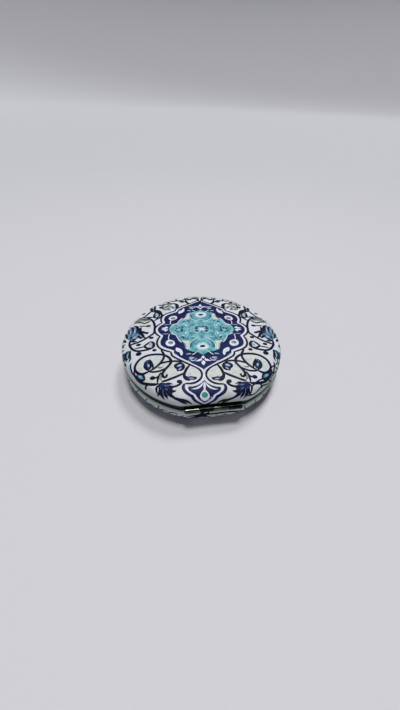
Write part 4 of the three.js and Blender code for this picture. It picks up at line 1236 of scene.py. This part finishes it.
HINGE_WALL_LINES = [
    (0.8, [(-37.0, 3.6), (-32.0, 2.0), (-27.0, 3.8), (-22.6, 5.0), (-18.6, 3.4)]),
    (0.8, [(-29.6, 3.0), (-26.4, 1.8), (-22.6, 2.0)]),
    (0.6, [(-17.0, 2.4), (-9.0, 2.15), (0.0, 2.25), (9.0, 2.1), (17.0, 2.4)]),
]
WALL_SPRIGS = [
    # colour, width, points of a leaf's middle line
    ("ink", 1.3, [(-36.0, 4.6), (-32.0, 3.4), (-27.0, 4.2)]),
    ("ink", 1.2, [(-30.0, 1.6), (-27.6, 3.0), (-26.6, 5.0)]),
    ("teal", 1.5, [(-25.0, 2.2), (-21.6, 2.8), (-18.4, 2.0)]),
    ("ink", 1.2, [(-24.4, 5.2), (-20.4, 4.4), (-16.6, 5.0)]),
]
# A white line on the base's wall under the barrel, a painted highlight.
HIGHLIGHT_BELOW_HINGE = [(-18.0, 1.7), (-9.0, 1.6), (0.0, 1.55), (9.0, 1.6), (18.0, 1.7)]


def paint_wall(layers, half):
    """Lines and leaves on a cover's wall, at the sides and the back, and on the base also by the hinge, with
    a white line under the barrel as a painted highlight.
    """
    for patch in patches(layers, [(at_wall, (half, turn)) for turn in WALL_TURNS]):
        patch.lines(inked(WALL_LINES))
        patch.leaves(WALL_SPRIGS)
    if half == "base":
        hinge_wall = Patch(layers, at_wall, (half, 0))
        hinge_wall.lines(inked(WALL_LINES + HINGE_WALL_LINES), HINGE_WALL_WEIGHT)
        hinge_wall.lines([("white", 0.5, HIGHLIGHT_BELOW_HINGE)])


def paint_cover(half):
    """All the paint of one cover, as one piece for each colour."""
    layers = {name: Layer(name, half) for name in PAINTS}
    paint_medallion(layers)
    paint_scrolls(layers)
    paint_far_leaves(layers)
    for patch in patches(layers, QUARTERS):
        paint_lotus(patch)
    paint_pendant(layers, near if half == "lid" else near_short)
    paint_pendant(layers, far)
    paint_sides(layers)
    paint_wall(layers, half)
    for name, layer in layers.items():
        make_piece(f"{half}_{name}_paint", layer.skin, half, half, paint_finishes[name], angle=40)


# Leather covers

def leather_cover(half):
    """The padded leather: the crown outside, rolled in at its lower edge and closed inside. Rings of the
    profile are carried round, each drawn in at the hinge."""
    angle = around(COVER_STEPS)
    bulge = HINGE_BULGE[half]
    whole_ring = np.ones(COVER_STEPS)
    outer = np.concatenate([np.linspace(0.6, 26, 46), np.linspace(26.5, CROWN_LENGTH, 40)])
    outside = on_crown(outer[:, None] * whole_ring, angle, 0.0, bulge)
    roll = np.linspace(0, np.pi, 7)[1:, None] * whole_ring
    radius = drawn_in(CROWN_RADIUS[-1] - EDGE_ROLL * (1 - np.cos(roll)), angle, CORNER_BLEND)
    edge = turned(radius, angle, COVER_START - EDGE_ROLL * np.sin(roll))
    inner = np.linspace(CROWN_LENGTH - 1, 2, 22)
    inside = on_crown(inner[:, None] * whole_ring, angle, -0.98 * LEATHER, bulge)
    poles = on_crown(np.zeros(2), np.zeros(2), np.array([0, -LEATHER]))
    skin = Skin()
    skin.tube(np.concatenate([outside, edge, inside]), poles)
    piece = make_piece(half + "_leather", skin, half, half, leather_finish, angle=60)
    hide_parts(half + "_cover")


# Plated and glass pieces

def carried_round(profile, segments, drawn=False):
    """Rings of a profile of (radius, depth) pairs turned about the upright axis."""
    angle = around(segments)
    radius, depth = (column[:, None] * np.ones(segments) for column in profile.T)
    if drawn:
        radius = drawn_in(radius, angle, RIM_BLEND)
    return turned(radius, angle, depth)


def cut_away(piece, boxes):
    """Cuts boxes, each given by two corners in millimetres in the row frame, out of a piece."""
    sides = [(0, 2, 3, 1), (4, 5, 7, 6), (0, 1, 5, 4), (2, 6, 7, 3), (0, 4, 6, 2), (1, 3, 7, 5)]
    for low, high in boxes:
        across, along, up = zip(low, high)
        mesh = bpy.data.meshes.new("cut")
        mesh.from_pydata([(x * MM, y * MM, z * MM) for z in up for y in along for x in across], [], sides)
        tool = add_object("cut", mesh)
        step = piece.modifiers.new("cut", "BOOLEAN")
        step.operation = "DIFFERENCE"
        step.solver = "EXACT"
        step.object = tool
        bpy.context.view_layer.update()
        graph = bpy.context.evaluated_depsgraph_get()
        done = bpy.data.meshes.new_from_object(piece.evaluated_get(graph))
        piece.modifiers.clear()
        piece.data = done
        bpy.data.objects.remove(tool)


def rim(half):
    """The plated frame: a lip over the glass and a wall outside, with rounded edges, carried round the
    half. The hinge leaf's notch, the hook's slot and the button's window are cut out."""
    back, lip = RIM_FACE + RIM_SHEET, RIM_SHEET / 2
    outer, inner, end = RIM_RADIUS, RIM_RADIUS - RIM_WALL, RIM_END - RIM_END_ROUND
    section = np.vstack([
        arc((GLASS_RADIUS - LIP + lip, RIM_FACE + lip), lip, 90, 270, 7),
        arc((outer - RIM_CORNER, RIM_FACE + RIM_CORNER), RIM_CORNER, -90, 0, 6),
        arc((outer - RIM_END_ROUND, end), RIM_END_ROUND, 0, 90, 4),
        arc((inner + RIM_END_ROUND, end), RIM_END_ROUND, 90, 180, 4),
        [[inner, back + RIM_FILLET], [inner - RIM_FILLET, back]],
    ])
    skin = Skin()
    skin.loop(carried_round(section, RIM_STEPS, drawn=True))
    piece = make_piece(half + "_plated_rim", skin, half, half, shaded_plating, angle=50)
    side = HALF_TURN[half][2]
    wall = sorted((PARTING + side * back, PARTING + side * (RIM_END + 1)))
    face = sorted((PARTING, PARTING + side * (back + SLOT_PAST)))
    notch = HINGE_LENGTH / 2 + ROOM
    slot = TONGUE_WIDTH / 2 + ROOM
    window = BUTTON_HIGH[0] - BUTTON_FLANGE + ROOM
    boxes = [
        ((-notch, -RIM_RADIUS, wall[0]), (notch, LEAF_HIGH[1] - LEAF_SHEET, wall[1])),
        ((-slot, SLOT_INNER[half] - ROOM, face[0]), (slot, HOOK_HIGH[1] + ROOM, face[1])),
    ]
    if half == "base":
        boxes.append(((-window, WINDOW_INNER, wall[0]), (window, BUTTON_HIGH[1], wall[1])))
    cut_away(piece, boxes)
    shade(piece.data, 50)
    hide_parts(half + "_rim")


def bent_sheet(skin, line, x0, x1):
    """A sheet bent along a line of (y, depth) and carried along X. Its section is the line moved out by
    half the sheet to both sides, and it gets thinner by an edge radius at its two cut ends."""
    nearly = 0.3 * CUT_EDGE
    steps = np.array([0, nearly, CUT_EDGE, 2 * CUT_EDGE])
    x = np.concatenate([x0 + steps, (x1 - steps)[::-1]])
    less = np.array([CUT_EDGE, nearly, 0, 0, 0, 0, nearly, CUT_EDGE])
    out = sideways(line) * (LEAF_SHEET / 2 - less)[:, None, None]
    outline = np.concatenate([line + out, (line - out)[:, ::-1]], axis=1)
    n, m = outline.shape[:2]
    rings = np.concatenate([np.broadcast_to(x[:, None, None], (n, m, 1)), outline], axis=2)
    i = np.arange(m // 2 - 1)
    start = np.stack([i, m - 1 - i, m - 2 - i, i + 1], axis=-1)
    skin.add(rings, [ring_quads(n, m), start, (start + (n - 1) * m)[:, ::-1]])


def hinge_leaf(half):
    """A leaf: a plate that bends down inside the pan, and every other knuckle rolled round the pin. A
    knuckle's line is straight from the plate and then an arc about the pin."""
    middle = BARREL_RADIUS - LEAF_SHEET / 2
    plate_edge = CHORD_INSET - RIM_RADIUS + 2 * SEAT
    flange = LEAF_HIGH[1] - LEAF_SHEET / 2
    plate = np.vstack([
        [[plate_edge, middle], [(plate_edge + flange) / 2, middle]],
        arc((flange - LEAF_BEND, middle + LEAF_BEND), LEAF_BEND, -90, 0, 7),
        [[flange, LEAF_HIGH[2] - PARTING]],
    ])
    skin = Skin()
    bent_sheet(skin, plate, -HINGE_LENGTH / 2, HINGE_LENGTH / 2)
    length = (HINGE_LENGTH - (KNUCKLES - 1) * KNUCKLE_GAP) / KNUCKLES
    roll = arc((HINGE_Y, 0), middle, 90, 90 + KNUCKLE_ROLL, 34)
    knuckle = np.vstack([[[plate_edge + KNUCKLE_LAP, middle], [plate_edge - KNUCKLE_LEAD, middle]], roll])
    for i in range(1, KNUCKLES, 2):
        x = -HINGE_LENGTH / 2 + i * (length + KNUCKLE_GAP)
        bent_sheet(skin, knuckle, x, x + length)
    # The base's knuckles take the lit copy of the plating and the lid's the shaded copy: painted highlight
    # and painted shade.
    finish = lit_plating if half == "base" else shaded_plating
    piece = make_piece(half + "_plated_hinge_leaf", skin, half, half, finish, angle=50)
    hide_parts(half + "_hinge_leaf")


def hinge_pin():
    """The pin: a shank with a low dome of an ellipse's quarter at each end, carried along X."""
    t = np.radians(np.linspace(4, 90, 9))
    radius = np.append(HEAD_RADIUS * np.sin(t), HEAD_RADIUS - np.array([0, 0.05, PIN_SHOULDER]))
    x = np.append(PIN_DOME * (1 - np.cos(t)), PIN_HEAD - np.array([0.06, 0.01, 0])) - PIN_HIGH[0]
    radius, x = np.append(radius, radius[::-1])[:, None], np.append(x, -x[::-1])[:, None]
    angle = around(PIN_STEPS)
    rings = np.stack([x + 0 * angle, HINGE_Y + radius * np.cos(angle), radius * np.sin(angle)], axis=-1)
    skin = Skin()
    skin.tube(rings)
    piece = make_piece("plated_hinge_pin", skin, "lid", "base", lit_plating, angle=50)
    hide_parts("hinge_pin")


def glass(half, curve=None):
    """A round glass with a bevelled edge. A dished one is (R^2 - r^2) / (2 curve) deeper at radius r."""
    radius = np.append(np.linspace(0.1, 1, 24) * (GLASS_RADIUS - GLASS_BEVEL), [GLASS_RADIUS])
    dish = (GLASS_RADIUS ** 2 - radius ** 2) / (2 * curve) if curve else 0 * radius
    bevel = np.append(np.zeros(24), [GLASS_BEVEL])
    dish[-1] = 0
    face = np.stack([radius, GLASS_FACE + dish + bevel], axis=1)
    back = np.stack([radius, GLASS_FACE + GLASS_THICK + dish - bevel], axis=1)[::-1]
    skin = Skin()
    skin.tube(carried_round(np.vstack([face, back]), GLASS_STEPS))
    piece = make_piece(half + "_glass", skin, half, half, glass_finish, angle=30)
    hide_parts(half + "_mirror")


for half_name in ("lid", "base"):
    leather_cover(half_name)
    paint_cover(half_name)
    rim(half_name)
    hinge_leaf(half_name)
glass("lid")
glass("base", MAGNIFIER_CURVE)
hinge_pin()

# Finishes of the carried-over CAD pieces
SLOT_FINISHES = {
    "leather": leather_finish,
    "foam": foam_finish,
    "plated_metal": shaded_plating,
    "pressed_steel": steel_finish,
    "silvered_glass": glass_finish,
    "adhesive_pad": tape_finish,
}
for part in frame["record"]["subparts"]:
    mesh = frame["nodes"][part["node"]].data
    mesh.materials.clear()
    mesh.materials.append(SLOT_FINISHES[part["material_slot"]].material)


# Floor, light and camera

def make_sweep():
    """A pale table top that curves up into a backdrop all round: a profile in metres, flat and then a quarter
    circle, turned about the upright axis."""
    flat, bend, top = 1.5, 1.0, 1.6
    turn = np.radians(np.linspace(0, 90, 24))
    radius = np.concatenate([np.geomspace(0.02, flat, 24), flat + bend * np.sin(turn[1:]), [flat + bend]])
    height = np.concatenate([np.zeros(24), bend * (1 - np.cos(turn[1:])), [top]]) - FLOOR_DROP * MM
    rings = turned(radius[:, None], around(96), height[:, None])
    n, m = rings.shape[:2]
    points = np.vstack([rings.reshape(-1, 3), [0, 0, -FLOOR_DROP * MM]])
    faces = ring_quads(n, m)[:, ::-1].tolist() + fan(np.arange(m), n * m).tolist()
    mesh = bpy.data.meshes.new("table_sweep")
    mesh.from_pydata(points.tolist(), [], faces)
    shade(mesh, 180)
    finish = Finish("table_sweep", roughness=0.7)
    finish.set(specular_ior_level=0.2)
    # The table is painted lighter near the mirror and a little darker further off: a painted pool of light.
    length = finish.node("ShaderNodeVectorMath", {"operation": "LENGTH"}, {0: finish.place})
    painted_light_falloff = Value(finish, length.outputs["Value"]).over(0.03, 0.5)
    finish.set(base_color=finish.mix(painted_light_falloff, tint(209, 208, 213), tint(200, 200, 206)))
    mesh.materials.append(finish.material)
    add_object("table_sweep", mesh)


def make_world():
    """A dim, slightly blue light from all round, which plated metal mirrors as its dark tone."""
    world = bpy.data.worlds.new("studio")
    bpy.context.scene.world = world
    world.use_nodes = True
    light = world.node_tree.nodes["Background"]
    light.inputs["Color"].default_value = tint(240, 244, 255)
    light.inputs["Strength"].default_value = 0.09


def stand(holder, x, y, z, place):
    """Gives a lamp or the camera its three axes and its place."""
    holder.matrix_world = Matrix(np.column_stack([x, y, z, place]).tolist() + [[0, 0, 0, 1]])


def lamp(name, azimuth, elevation, size, strength, colour):
    """A far, wide lamp: where it stands seen from the mirror and its size, in degrees, and its strength."""
    light = bpy.data.lights.new(name, "SUN")
    light.angle = np.radians(size)
    light.energy = strength
    light.color = colour
    a, e = np.radians(azimuth), np.radians(elevation)
    z = np.array([np.sin(a) * np.cos(e), -np.cos(a) * np.cos(e), np.sin(e)])
    x = np.cross([0, 1, 0], z)
    x = x / np.linalg.norm(x)
    stand(add_object(name, light), x, np.cross(z, x), z, z)


def make_camera():
    """The photograph's camera: it looks down at the mirror, rolled a little, with the mirror's middle
    shifted in the picture."""
    a, e = np.radians(CAMERA_AZIMUTH), np.radians(CAMERA_ELEVATION)
    right = np.array([np.cos(a), np.sin(a), 0])
    forward = np.array([-np.sin(a) * np.cos(e), np.cos(a) * np.cos(e), -np.sin(e)])
    up = np.cross(right, forward)
    shift = np.array(PICTURE_SHIFT) / PIXELS_PER_MM
    place = np.array([0, 0, PARTING]) - forward * CAMERA_DISTANCE - right * shift[0] + up * shift[1]
    across = np.cos(CAMERA_ROLL) * right + np.sin(CAMERA_ROLL) * up
    top = -np.sin(CAMERA_ROLL) * right + np.cos(CAMERA_ROLL) * up
    data = bpy.data.cameras.new("camera")
    data.sensor_fit = "VERTICAL"
    data.sensor_height = SENSOR_HEIGHT
    data.lens = SENSOR_HEIGHT * PIXELS_PER_MM * CAMERA_DISTANCE / PICTURE_HEIGHT
    data.clip_start = 0.005
    camera = add_object("camera", data)
    stand(camera, across, top, -forward, place * MM)
    bpy.context.scene.camera = camera


make_sweep()
make_world()
lamp("ceiling_lamp", azimuth=168, elevation=86, size=16, strength=1.78, colour=(1.0, 0.995, 0.98))
lamp("back_window", azimuth=145, elevation=60, size=14, strength=1.1, colour=(0.97, 0.98, 1.0))
make_camera()
bpy.context.scene.view_settings.view_transform = "Standard"
